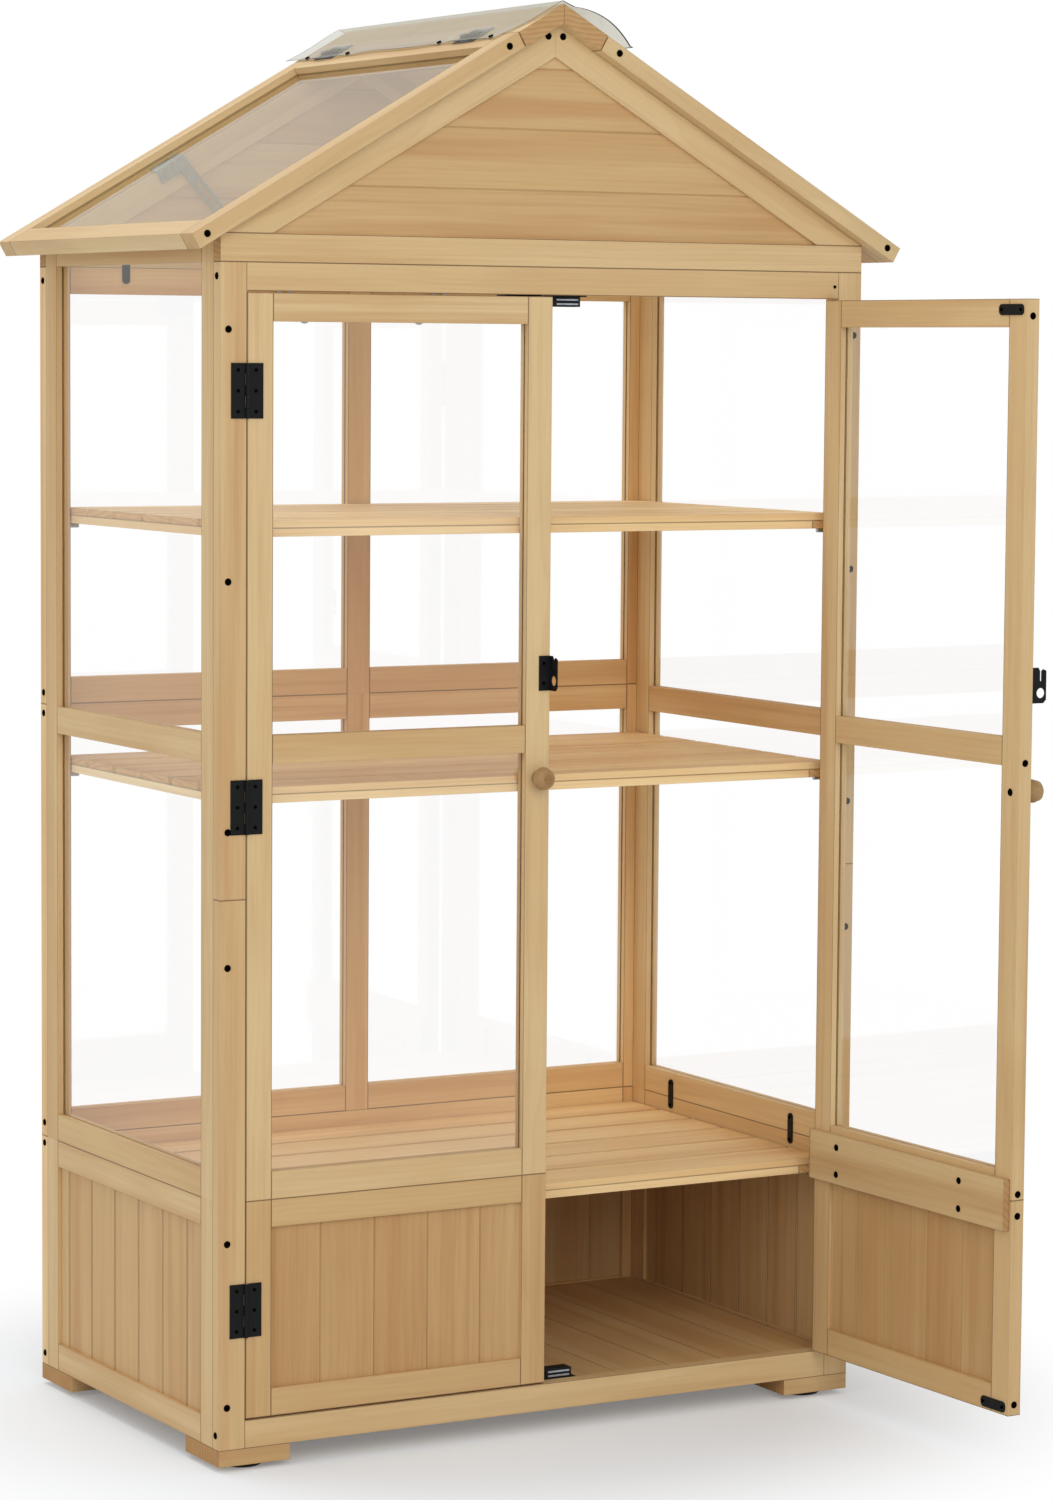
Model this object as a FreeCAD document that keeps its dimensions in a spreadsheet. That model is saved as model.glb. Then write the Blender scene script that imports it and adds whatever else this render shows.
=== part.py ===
import FreeCAD, Part
import math
import os
import re
import Sketcher

# Wooden mini greenhouse: a tall glazed cabinet on four feet, with two front
# doors, slatted shelves and a gabled roof whose two glazed lids open on stays.
# The frame's origin is on the floor in the middle of the four feet:
# +X to the right seen from the doors, +Y to the back, +Z up. Millimetres.

doc = FreeCAD.newDocument("mini_greenhouse")
sheet = doc.addObject("Spreadsheet::Sheet", "Sizes")

SIZES = [
    # cabinet
    ("cabinet_width", 880),
    ("cabinet_depth", 524),
    ("front_height", 1390),
    ("storage_height", 294),
    ("board_width", 33),
    ("board_thickness", 18),
    ("stile_joint_height", 651),
    ("waist_rail_height", 809.5),
    ("back_joint_height", 843.5),
    # glass and matchboarding
    ("pane_thickness", 3),
    ("groove_depth", 6),
    ("groove_clearance", 0.5),
    ("plank_cover", 72),
    ("side_plank_cover", 70),
    ("plank_thickness", 8),
    ("plank_bevel", 1),
    ("tongue_thickness", 2.6),
    ("tongue_length", 4),
    ("side_first_plank", 48),
    ("back_first_plank", 47),
    ("gable_first_plank", 57.5),
    # feet
    ("foot_side", 93),
    ("foot_height", 20),
    ("glide_radius", 25),
    ("glide_height", 7),
    ("glide_bevel", 2),
    ("glide_inset_x", 46),
    ("glide_inset_y", 36),
    # shelves and floor
    ("shelf_batten_thickness", 10),
    ("shelf_slat_thickness", 9),
    ("shelf_slat_gap", 8),
    ("shelf_end_gap", 2),
    ("shelf_front", 22),
    ("shelf_depth", 481),
    ("upper_shelf_height", 1072),
    ("middle_shelf_height", 760),
    ("deck_height", 255),
    ("deck_front", 34),
    ("deck_depth", 471),
    ("floor_top", 31),
    ("floor_board_thickness", 10),
    ("floor_board_gap", 0.8),
    ("pin_radius", 3),
    ("pin_reach", 14),
    ("pin_inset", 26),
    # doors
    ("door_width", 404),
    ("door_side_gap", 1.5),
    ("door_foot", 35),
    ("door_top", 1355),
    ("door_waist_height", 808.5),
    ("door_first_plank", 67.5),
    ("door_rest_angle", 92),
    ("batten_foot", 258.5),
    ("batten_height", 60),
    ("batten_thickness", 15),
    ("batten_hinge_gap", 18.5),
    ("batten_edge_gap", 0.5),
    ("knob_height", 778),
    ("knob_inset", 16),
    ("knob_foot_radius", 8),
    ("knob_foot_height", 0),
    ("knob_neck_radius", 6.5),
    ("knob_neck_height", 6),
    ("knob_belly_radius", 14),
    ("knob_belly_height", 14),
    ("knob_brow_radius", 12),
    ("knob_brow_height", 22),
    ("knob_face_radius", 6),
    ("knob_face_height", 27),
    ("strike_length", 47),
    ("strike_width", 13),
    ("strike_thickness", 1.5),
    ("strike_inset", 5),
    ("strike_top_inset", 6),
    ("strike_foot_inset", 3),
    # catches
    ("catch_length", 36),
    ("catch_flange_length", 50),
    ("catch_front", 21.5),
    ("catch_depth", 18),
    ("catch_height", 12),
    ("catch_plate", 1.6),
    ("catch_inset", 6),
    ("catch_back_height", 16),
    # hasp
    ("hasp_foot", 883),
    ("hasp_height", 42),
    ("hasp_leaf_width", 15),
    ("hasp_reach", 20),
    ("hasp_thickness", 1.5),
    ("hasp_eye_radius", 6),
    ("hasp_eye_height", 12),
    ("hasp_slot_width", 2.5),
    ("hasp_slot_depth", 16),
    ("hasp_slot_offset", 2),
    ("hasp_mouth_depth", 4),
    ("hasp_mouth_width", 2.5),
    ("hasp_corner", 4),
    # door hinges
    ("hinge_height", 64),
    ("hinge_leaf_width", 20.5),
    ("hinge_leaf_thickness", 1.2),
    ("hinge_barrel_radius", 2.6),
    ("hinge_pin_radius", 1.3),
    ("hinge_running_fit", 0.06),
    ("hinge_stand_off", 0.1),
    ("hinge_top_height", 1242),
    ("hinge_middle_height", 759),
    ("hinge_low_height", 164.6),
    # roof
    ("roof_pitch", 30),
    ("roof_thickness", 20),
    ("ridge_face", 58),
    ("lid_gap", 2),
    ("lid_length", 488),
    ("lid_lift", 0.3),
    ("lid_front_overhang", 19),
    ("lid_rear_overhang", 26),
    ("ridge_front_overhang", 20),
    ("ridge_rear_overhang", 21),
    ("lid_hinge_height", 50),
    ("lid_hinge_front", 96),
    ("lid_hinge_rear", 468),
    ("film_thickness", 1),
    ("film_clearance", 0.5),
    ("film_fold_gap", 6),
    ("film_front", 2),
    ("film_length", 574),
    ("film_left_reach", 80),
    ("film_right_reach", 112),
    ("film_left_rise", 27),
    ("film_right_rise", 33),
    # lid stays
    ("stay_pivot_along", 298),
    ("stay_pivot_drop", 8),
    ("stay_width", 15),
    ("stay_thickness", 2),
    ("stay_slot_start", 30),
    ("stay_slot_end", 256),
    ("stay_slot_width", 7),
    ("stay_rivet_radius", 2),
    ("stay_rivet_head", 1),
    ("stay_play", 0.5),
    ("stay_screw_radius", 1.5),
    ("stay_head_radius", 4.5),
    ("stay_head_height", 2),
    ("stay_screw_across", 150),
    ("stay_screw_height", 1405),
    ("stay_front", 499),
    ("bracket_length", 44),
    ("bracket_thickness", 1.9),
    ("bracket_lift", 0.6),
    ("bracket_tab", 6),
    # mending plates
    ("mend_width", 10),
    ("mend_length", 39),
    ("mend_thickness", 2),
    ("mend_corner", 3),
    ("mend_front", 108),
    ("mend_rear", 404),
    ("mend_foot", 279),
    ("mend_gable_across", 331),
]
for row, (alias, size) in enumerate(SIZES, start=1):
    sheet.set(f"A{row}", alias.replace("_", " "))
    sheet.set(f"B{row}", str(size))
    sheet.setAlias(f"B{row}", alias)
doc.recompute()

ALIASES = re.compile(r"\b(" + "|".join(alias for alias, size in SIZES) + r")\b")
SIDES = ("left", "right")
nodes = {}


def bind(text):
    """The expression that reads the named sizes from the sheet."""
    return ALIASES.sub(r"Sizes.\1", str(text))


def size_of(alias):
    return float(sheet.get(alias))


# Places on the cabinet: x from its middle, y from its front face, z from the
# lower edge of its frames
HALF = "cabinet_width / 2"
INSIDE = "(cabinet_width / 2 - board_thickness)"
BACK = "(cabinet_depth - board_thickness)"
SIDE_DEPTH = "(cabinet_depth - 2 * board_thickness)"
GABLE_TOP = "(front_height + board_width)"
STAND = "(foot_height + glide_height)"
APEX = "(cabinet_width / 2 * tan(roof_pitch))"


def place(piece, corner):
    """Put a piece's own origin at a place on the cabinet."""
    x, y, z = corner
    piece.setExpression(".Placement.Base.x", bind(x))
    piece.setExpression(".Placement.Base.y", bind(f"{y} - cabinet_depth / 2"))
    piece.setExpression(".Placement.Base.z", bind(f"{z} + {STAND}"))
    return piece


def box(name, corner, size, put=place):
    piece = doc.addObject("Part::Box", name)
    for side, text in zip(("Length", "Width", "Height"), size):
        piece.setExpression(side, bind(text))
    return put(piece, corner)


def put_flat(piece, corner):
    """Put a piece at a place of its own, for what is turned as a group later."""
    for axis, text in zip("xyz", corner):
        piece.setExpression(".Placement.Base." + axis, bind(text))
    return piece


# How many flats stand for a round: on a bar, on a slimmer bar or bore, on a knob
BAR_FLATS, SLIM_FLATS, KNOB_FLATS = 12, 8, 24


def rod(name, start, axis, radius, length, put=place, flats=BAR_FLATS):
    """A slim round bar from start along x, y or z, with flats too small to see."""
    piece = doc.addObject("Part::Prism", name)
    piece.Polygon = flats
    piece.setExpression("Circumradius", bind(radius))
    piece.setExpression("Height", bind(length))
    turns = {
        "x": FreeCAD.Rotation(FreeCAD.Vector(0, 1, 0), 90),
        "y": FreeCAD.Rotation(FreeCAD.Vector(1, 0, 0), -90),
        "z": FreeCAD.Rotation(),
    }
    piece.Placement = FreeCAD.Placement(FreeCAD.Vector(), turns[axis])
    return put(piece, start)


def cut(name, base, tool):
    piece = doc.addObject("Part::Cut", name)
    piece.Base = base
    piece.Tool = tool
    return piece


def common(name, base, tool):
    piece = doc.addObject("Part::Common", name)
    piece.Base = base
    piece.Tool = tool
    return piece


def fuse(name, pieces):
    piece = doc.addObject("Part::MultiFuse", name)
    piece.Shapes = pieces
    piece.Refine = True
    return piece


def together(name, pieces):
    """Several solids side by side, none joined to another."""
    piece = doc.addObject("Part::Compound", name)
    piece.Links = pieces
    return piece


def node(label, pieces):
    """Register a finished sub-part under its own label."""
    piece = together(label, pieces)
    piece.Label = label
    nodes[label] = piece
    return piece


def plane_of(body, role):
    return [f for f in body.Origin.OriginFeatures if f.Role == role][0]


def new_sketch(body, role):
    sketch = body.newObject("Sketcher::SketchObject", body.Name + "_sketch")
    sketch.AttachmentSupport = (plane_of(body, role), [""])
    sketch.MapMode = "FlatFace"
    return sketch


def hold(sketch, kind, ends, text, rough=1.0):
    """One dimension of a sketch, driven from the sheet."""
    index = sketch.addConstraint(Sketcher.Constraint(kind, *ends, float(rough)))
    sketch.renameConstraint(index, f"{kind}_{index}")
    sketch.setExpression(f"Constraints.{kind}_{index}", bind(text))


def outline(sketch, corners):
    """A closed outline of straight edges, every corner held from the sheet."""
    count = len(corners)
    first = sketch.GeometryCount
    angles = [2 * math.pi * i / count for i in range(count)]
    loose = [FreeCAD.Vector(math.cos(a), math.sin(a), 0) for a in angles]
    for i in range(count):
        sketch.addGeometry(Part.LineSegment(loose[i], loose[(i + 1) % count]), False)
    for i in range(count):
        edge, following = first + i, first + (i + 1) % count
        sketch.addConstraint(Sketcher.Constraint("Coincident", edge, 2, following, 1))
    for i, (across, up) in enumerate(corners):
        hold(sketch, "DistanceX", (-1, 1, first + i, 1), across)
        hold(sketch, "DistanceY", (-1, 1, first + i, 1), up)


def circle(sketch, across, up, radius):
    index = sketch.addGeometry(Part.Circle(FreeCAD.Vector(1, 1, 0), FreeCAD.Vector(0, 0, 1), 1.0), False)
    hold(sketch, "DistanceX", (-1, 1, index, 3), across)
    hold(sketch, "DistanceY", (-1, 1, index, 3), up)
    hold(sketch, "Radius", (index,), radius)


def obround(sketch, start, end, radius, rough):
    """A slot's outline along the sketch's x axis: two half circles and two edges.

    rough holds plain numbers for the same three sizes, from which the sketch
    is first drawn.
    """
    first = sketch.GeometryCount
    up = FreeCAD.Vector(0, 0, 1)
    near, far, r = rough
    right = Part.Circle(FreeCAD.Vector(far, 0, 0), up, r)
    left = Part.Circle(FreeCAD.Vector(near, 0, 0), up, r)
    sketch.addGeometry(Part.ArcOfCircle(right, -math.pi / 2, math.pi / 2), False)
    sketch.addGeometry(Part.LineSegment(FreeCAD.Vector(far, r, 0), FreeCAD.Vector(near, r, 0)), False)
    sketch.addGeometry(Part.ArcOfCircle(left, math.pi / 2, 3 * math.pi / 2), False)
    sketch.addGeometry(Part.LineSegment(FreeCAD.Vector(near, -r, 0), FreeCAD.Vector(far, -r, 0)), False)
    for i in range(4):
        sketch.addConstraint(Sketcher.Constraint("Tangent", first + i, 2, first + (i + 1) % 4, 1))
    sketch.addConstraint(Sketcher.Constraint("PointOnObject", first, 3, -1))
    sketch.addConstraint(Sketcher.Constraint("PointOnObject", first + 2, 3, -1))
    hold(sketch, "DistanceX", (-1, 1, first, 3), end, far)
    hold(sketch, "DistanceX", (-1, 1, first + 2, 3), start, near)
    hold(sketch, "Radius", (first,), radius, r)


def pad(body, sketch, length):
    """Raise a sketch from its plane: up, back or to the right."""
    feature = body.newObject("PartDesign::Pad", body.Name + "_pad")
    feature.Profile = sketch
    feature.setExpression("Length", bind(length))
    feature.Reversed = sketch.AttachmentSupport[0][0].Role == "XZ_Plane"
    body.Tip = feature
    return feature


def profile(name, role, corners, length, corner=None, put=place):
    """A straight piece with the cross-section or outline that its corners give."""
    body = doc.addObject("PartDesign::Body", name)
    sketch = new_sketch(body, role)
    outline(sketch, corners)
    pad(body, sketch, length)
    if corner:
        put(body, corner)
    return body


def along(plane, corner, a, t, h):
    """A place in a frame's own directions: across it, through it and up it."""
    shift = {"front": (a, t, h), "side": (t, a, h), "roof": (h, a, t)}[plane]
    return tuple(f"{c} + {s}" for c, s in zip(corner, shift))


def turned(plane, a, t, h):
    return {"front": (a, t, h), "side": (t, a, h), "roof": (h, a, t)}[plane]


def frame(name, plane, corner, width, height, rails, fill, thickness="board_thickness",
          middle=False, put=place):
    """Boards of one frame, grooved for the panes or planks that it holds.

    Two full stiles, rails between them at the given heights, and a middle
    stile between the rails where there is one. Returns the boards and the
    bays, each bay as its start and size across and up the frame.
    """
    clear_width = f"({width} - 2 * board_width)"
    boards = []
    for i, a in enumerate(("0", f"({width} - board_width)")):
        stile = box(f"{name}_stile_{i}", along(plane, corner, a, "0", "0"),
                    turned(plane, "board_width", thickness, height), put)
        boards.append(stile)
    for i, h in enumerate(rails):
        rail = box(f"{name}_rail_{i}", along(plane, corner, "board_width", "0", h),
                   turned(plane, clear_width, thickness, "board_width"), put)
        boards.append(rail)
    bays = []
    for low, high in zip(rails, rails[1:]):
        start = f"({low} + board_width)"
        tall = f"({high} - {low} - board_width)"
        if middle:
            a = f"({width} / 2 - board_width / 2)"
            boards.append(box(f"{name}_middle_{low}", along(plane, corner, a, "0", start),
                              turned(plane, "board_width", thickness, tall), put))
            half = f"({width} / 2 - 1.5 * board_width)"
            bays.append(("board_width", start, half, tall))
            bays.append((f"({width} / 2 + board_width / 2)", start, half, tall))
        else:
            bays.append(("board_width", start, clear_width, tall))
    grooves = []
    for i, (a, h, wide, tall) in enumerate(bays):
        place_of = along(plane, corner, f"({a} - groove_depth)", f"({thickness} - {fill}) / 2",
                         f"({h} - groove_depth)")
        size = turned(plane, f"{wide} + 2 * groove_depth", fill, f"{tall} + 2 * groove_depth")
        grooves.append(box(f"{name}_groove_{i}", place_of, size, put))
    tool = together(f"{name}_grooves", grooves)
    members = [cut(f"{board.Name}_grooved", board, tool) for board in boards]
    return members, bays


def panes(name, plane, corner, bays, thickness="board_thickness", put=place):
    """One clear sheet per bay, let into the grooves all round."""
    sheets = []
    for i, (a, h, wide, tall) in enumerate(bays):
        place_of = along(plane, corner, f"({a} - groove_depth + groove_clearance)",
                         f"({thickness} - pane_thickness) / 2",
                         f"({h} - groove_depth + groove_clearance)")
        size = turned(plane, f"{wide} + 2 * (groove_depth - groove_clearance)", "pane_thickness",
                      f"{tall} + 2 * (groove_depth - groove_clearance)")
        sheets.append(box(f"{name}_sheet_{i}", place_of, size, put))
    return sheets


def plank_section(cover, grooved, tongued):
    """A matchboard's cross-section: bevelled arrises, a groove and a tongue."""
    low = "(plank_thickness - tongue_thickness) / 2"
    high = "(plank_thickness + tongue_thickness) / 2"
    section = [("plank_bevel", "0"), (f"{cover} - plank_bevel", "0"), (cover, "plank_bevel")]
    if tongued:
        tip = f"{cover} + tongue_length"
        section += [(cover, low), (tip, low), (tip, high), (cover, high)]
    section += [(cover, "plank_thickness - plank_bevel"),
                (f"{cover} - plank_bevel", "plank_thickness"),
                ("plank_bevel", "plank_thickness"),
                ("0", "plank_thickness - plank_bevel")]
    if grooved:
        root = "tongue_length + groove_clearance"
        section += [("0", high), (root, high), (root, low), ("0", low)]
    section += [("0", "plank_bevel")]
    return section


def planks(name, plane, corner, bay, first, cover, count):
    """Upright matchboards that fill one bay and stand in its grooves."""
    a, h, wide, tall = bay
    seat = "(groove_depth - groove_clearance)"
    seams = ["0"] + [f"({first} + {k} * {cover} + {seat})" for k in range(count - 1)]
    seams.append(f"({wide} + 2 * {seat})")
    boards = []
    for k in range(count):
        section = plank_section(f"({seams[k + 1]} - {seams[k]})", k > 0, k < count - 1)
        if plane == "side":
            section = [(through, across) for across, through in section]
        place_of = along(plane, corner, f"({a} - {seat} + {seams[k]})",
                         "(board_thickness - plank_thickness) / 2", f"({h} - {seat})")
        boards.append(profile(f"{name}_{k}", "XY_Plane", section, f"{tall} + 2 * {seat}", place_of))
    return boards


# Front frame: two stiles, each in two lengths, and two rails
def front_frame():
    stiles = []
    for side, x in zip(SIDES, (f"-{HALF}", f"{HALF} - board_width")):
        lower = box(f"front_{side}_stile_lower", (x, "0", "0"),
                    ("board_width", "board_thickness", "stile_joint_height"))
        upper = box(f"front_{side}_stile_upper", (x, "0", "stile_joint_height"),
                    ("board_width", "board_thickness", "front_height - stile_joint_height"))
        stiles += [lower, upper]
    node("front_stiles", stiles)
    rails = []
    for name, z in (("bottom", "0"), ("top", "(front_height - board_width)")):
        rails.append(box(f"front_{name}_board", (f"board_width - {HALF}", "0", z),
                         ("cabinet_width - 2 * board_width", "board_thickness", "board_width")))
    node("front_rails", rails)


# Side walls: a glazed upper frame on a boarded lower frame
def side_walls():
    upper_height = f"({GABLE_TOP} - storage_height)"
    upper_rails = ["0", "(waist_rail_height - storage_height)", f"({upper_height} - board_width)"]
    lower_rails = ["0", "(storage_height - board_width)"]
    all_panes = []
    all_planks = []
    for side, x in zip(SIDES, (f"-{HALF}", INSIDE)):
        foot = (x, "board_thickness", "storage_height")
        boards, bays = frame(f"{side}_upper", "side", foot, SIDE_DEPTH, upper_height,
                             upper_rails, "pane_thickness")
        node(f"{side}_upper_frame", boards)
        all_panes += panes(f"{side}_pane", "side", foot, bays)
        foot = (x, "board_thickness", "0")
        boards, bays = frame(f"{side}_lower", "side", foot, SIDE_DEPTH, "storage_height",
                             lower_rails, "plank_thickness")
        node(f"{side}_lower_frame", boards)
        all_planks += planks(f"{side}_plank", "side", foot, bays[0],
                             "side_first_plank", "side_plank_cover", 7)
    node("side_panes", all_panes)
    node("side_planks", all_planks)


# Back wall: two glazed frames, each with a middle stile, on a boarded one
def back_wall():
    x = f"-{HALF}"
    all_panes = []
    spans = (("middle", "storage_height", "back_joint_height"),
             ("upper", "back_joint_height", "front_height"))
    for name, low, high in spans:
        foot = (x, BACK, low)
        height = f"({high} - {low})"
        boards, bays = frame(f"back_{name}", "front", foot, "cabinet_width", height,
                             ["0", f"({height} - board_width)"], "pane_thickness", middle=True)
        node(f"back_{name}_frame", boards)
        all_panes += panes(f"back_{name}_pane", "front", foot, bays)
    node("back_panes", all_panes)
    foot = (x, BACK, "0")
    boards, bays = frame("back_lower", "front", foot, "cabinet_width", "storage_height",
                         ["0", "(storage_height - board_width)"], "plank_thickness")
    node("back_lower_frame", boards)
    node("back_planks", planks("back_plank", "front", foot, bays[0],
                               "back_first_plank", "plank_cover", 12))


# Gables: a base rail, two rafters mitred at the apex, and level planks between
def gables():
    drop = "(board_width / cos(roof_pitch))"
    foot_run = "(board_width / sin(roof_pitch))"
    reach = f"({HALF} - {foot_run} + groove_depth / tan(roof_pitch) + groove_depth / sin(roof_pitch))"
    rise = f"({APEX} - {drop} + groove_depth / cos(roof_pitch))"
    fill = "(board_thickness - plank_thickness) / 2"
    boards = []
    for name, y in (("front", "0"), ("rear", BACK)):
        seat = (f"-{HALF}", y, "front_height")
        rail = box(f"{name}_gable_rail", seat, ("cabinet_width", "board_thickness", "board_width"))
        middle = ("0", f"{y}", GABLE_TOP)
        panel_place = ("0", f"{y} + {fill}", GABLE_TOP)
        room = profile(f"{name}_gable_groove", "XZ_Plane",
                       [(f"-{reach}", "-groove_depth"), (reach, "-groove_depth"), ("0", rise)],
                       "plank_thickness", panel_place)
        rafters = []
        for side, sign in zip(SIDES, ("-", "")):
            corners = [(f"{sign}({HALF})", "0"), (f"{sign}({HALF} - {foot_run})", "0"),
                       ("0", f"{APEX} - {drop}"), ("0", APEX)]
            rafters.append(profile(f"{name}_{side}_rafter", "XZ_Plane", corners,
                                   "board_thickness", middle))
        members = [cut(f"{piece.Name}_grooved", piece, room) for piece in [rail] + rafters]
        node(f"{name}_gable_frame", members)
        seams = ["-groove_depth"] + [f"(gable_first_plank + {k} * plank_cover)" for k in range(3)]
        seams.append(rise)
        for k in range(4):
            section = plank_section(f"({seams[k + 1]} - {seams[k]})", k > 0, k < 3)
            section = [(through, across) for across, through in section]
            start = (f"-{HALF}", f"{y} + {fill}", f"{GABLE_TOP} + {seams[k]}")
            whole = profile(f"{name}_gable_board_{k}", "YZ_Plane", section, "cabinet_width", start)
            boards.append(common(f"{name}_gable_plank_{k}", whole, room))
    node("gable_planks", boards)


# Storage floor, fixed deck and the two loose shelves
def slatted(name, height, front, depth):
    """A shelf: slats along X on a frame of four flat battens."""
    length = f"(2 * {INSIDE} - 2 * shelf_end_gap)"
    left = f"(shelf_end_gap - {INSIDE})"
    boards = []
    for i, y in enumerate((front, f"({front} + {depth} - board_width)")):
        boards.append(box(f"{name}_long_batten_{i}", (left, y, height),
                          (length, "board_width", "shelf_batten_thickness")))
    for i, x in enumerate((left, f"(-1 * {left} - board_width)")):
        boards.append(box(f"{name}_cross_batten_{i}", (x, f"{front} + board_width", height),
                          ("board_width", f"{depth} - 2 * board_width", "shelf_batten_thickness")))
    slats = 6
    wide = f"(({depth} - {slats - 1} * shelf_slat_gap) / {slats})"
    for k in range(slats):
        y = f"{front} + {k} * ({wide} + shelf_slat_gap)"
        boards.append(box(f"{name}_slat_{k}", (left, y, f"{height} + shelf_batten_thickness"),
                          (length, wide, "shelf_slat_thickness")))
    return boards


def floor():
    boards = 11
    pitch = f"((2 * {INSIDE} - 2 * shelf_end_gap) / {boards})"
    pieces = []
    for k in range(boards):
        x = f"shelf_end_gap - {INSIDE} + {k} * {pitch}"
        pieces.append(box(f"floor_board_{k}", (x, "board_thickness", "floor_top - floor_board_thickness"),
                          (f"{pitch} - floor_board_gap", SIDE_DEPTH, "floor_board_thickness")))
    node("floor_boards", pieces)
    bearers = []
    bearer_thickness = "(floor_top - floor_board_thickness)"
    for i, y in enumerate(("board_thickness", f"{BACK} - board_width")):
        bearers.append(box(f"floor_bearer_{i}", (f"-{INSIDE}", y, "0"),
                           (f"2 * {INSIDE}", "board_width", bearer_thickness)))
    node("floor_bearers", bearers)


def shelves():
    node("upper_shelf", slatted("upper_shelf", "upper_shelf_height", "shelf_front", "shelf_depth"))
    node("middle_shelf", slatted("middle_shelf", "middle_shelf_height", "shelf_front", "shelf_depth"))
    node("deck", slatted("deck", "deck_height", "deck_front", "deck_depth"))
    pins = []
    levels = ("upper_shelf_height", "middle_shelf_height", "deck_height")
    for i, z in enumerate(levels):
        for side, x in zip(SIDES, (f"-{INSIDE}", f"{INSIDE} - pin_reach")):
            for end, y in (("front", "board_thickness + pin_inset"), ("rear", f"{BACK} - pin_inset")):
                pins.append(rod(f"pin_{i}_{side}_{end}", (x, y, f"{z} - pin_radius"), "x",
                                "pin_radius", "pin_reach", flats=SLIM_FLATS))
    node("shelf_pins", pins)


# Feet: a square block under each corner and a round glide under each block
def feet():
    blocks = []
    glides = []
    for side in SIDES:
        for end in ("front", "rear"):
            x = f"-{HALF}" if side == "left" else f"{HALF} - foot_side"
            y = "0" if end == "front" else "cabinet_depth - foot_side"
            blocks.append(box(f"foot_{side}_{end}", (x, y, "-foot_height"),
                              ("foot_side", "foot_side", "foot_height")))
            x = f"glide_inset_x - {HALF}" if side == "left" else f"{HALF} - glide_inset_x"
            y = "glide_inset_y" if end == "front" else "cabinet_depth - glide_inset_y"
            body = doc.addObject("PartDesign::Body", f"glide_{side}_{end}")
            sketch = new_sketch(body, "XZ_Plane")
            outline(sketch, [("0", "0"), ("glide_radius - glide_bevel", "0"),
                             ("glide_radius", "glide_bevel"), ("glide_radius", "glide_height"),
                             ("0", "glide_height")])
            spin = body.newObject("PartDesign::Revolution", f"{body.Name}_turned")
            spin.Profile = sketch
            spin.ReferenceAxis = (sketch, ["V_Axis"])
            spin.Angle = 360
            body.Tip = spin
            glides.append(place(body, (x, y, f"-{STAND}")))
    node("corner_feet", blocks)
    node("foot_glides", glides)


# Hinges: two leaves whose knuckles interleave on one pin. A hinge's own frame
# has the pin along Z, the faces that it lies on at y = 0 and the fixed leaf
# on the side of minus X.
BARREL = "(hinge_barrel_radius + hinge_stand_off)"


def hinge_parts(name, height, knuckles):
    """The fixed leaf, the moving leaf and the pin of one butt hinge."""
    pitch = f"({height} / {knuckles})"
    leaves = []
    for leaf, x in (("fixed", "-hinge_leaf_width"), ("moving", BARREL)):
        wide = f"hinge_leaf_width - {BARREL}"
        plate = box(f"{name}_{leaf}_plate", (x, "-hinge_leaf_thickness", "0"),
                    (wide, "hinge_leaf_thickness", height), put_flat)
        solids = [plate]
        for k in range(knuckles):
            if (k % 2 == 0) != (leaf == "fixed"):
                continue
            base = f"{k} * {pitch} + hinge_running_fit"
            tall = f"{pitch} - 2 * hinge_running_fit"
            near = f"-{BARREL}" if leaf == "fixed" else "0"
            solids.append(box(f"{name}_{leaf}_web_{k}", (near, "-hinge_leaf_thickness", base),
                              (BARREL, "hinge_leaf_thickness", tall), put_flat))
            solids.append(rod(f"{name}_{leaf}_knuckle_{k}", ("0", f"-{BARREL}", base), "z",
                              "hinge_barrel_radius", tall, put_flat))
        bore_radius = f"(hinge_pin_radius + hinge_running_fit) / cos(180 / {SLIM_FLATS})"
        bore = rod(f"{name}_{leaf}_bore", ("0", f"-{BARREL}", "0"), "z", bore_radius, height,
                   put_flat, SLIM_FLATS)
        leaves.append(cut(f"{name}_{leaf}_leaf", fuse(f"{name}_{leaf}_solid", solids), bore))
    pin = rod(f"{name}_pin", ("0", f"-{BARREL}", "0"), "z", "hinge_pin_radius", height,
              put_flat, SLIM_FLATS)
    return leaves[0], leaves[1], pin


def copied(name, piece, placement):
    """The same piece again in another place."""
    copy = together(name, [piece])
    copy.Placement = placement
    return copy


def world(x, y, z):
    """A place on the cabinet as a point of the model's own frame."""
    stand = size_of("foot_height") + size_of("glide_height")
    return FreeCAD.Vector(x, y - size_of("cabinet_depth") / 2, z + stand)


def door_swing(side):
    """How a door's pieces, made shut, are turned about the pins at rest."""
    if side == "left":
        return FreeCAD.Placement()
    x = size_of("cabinet_width") / 2 - size_of("board_width") - size_of("door_side_gap") / 2
    y = -size_of("hinge_barrel_radius") - size_of("hinge_stand_off")
    turn = FreeCAD.Rotation(FreeCAD.Vector(0, 0, 1), size_of("door_rest_angle"))
    return FreeCAD.Placement(FreeCAD.Vector(), turn, world(x, y, 0))


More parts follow.
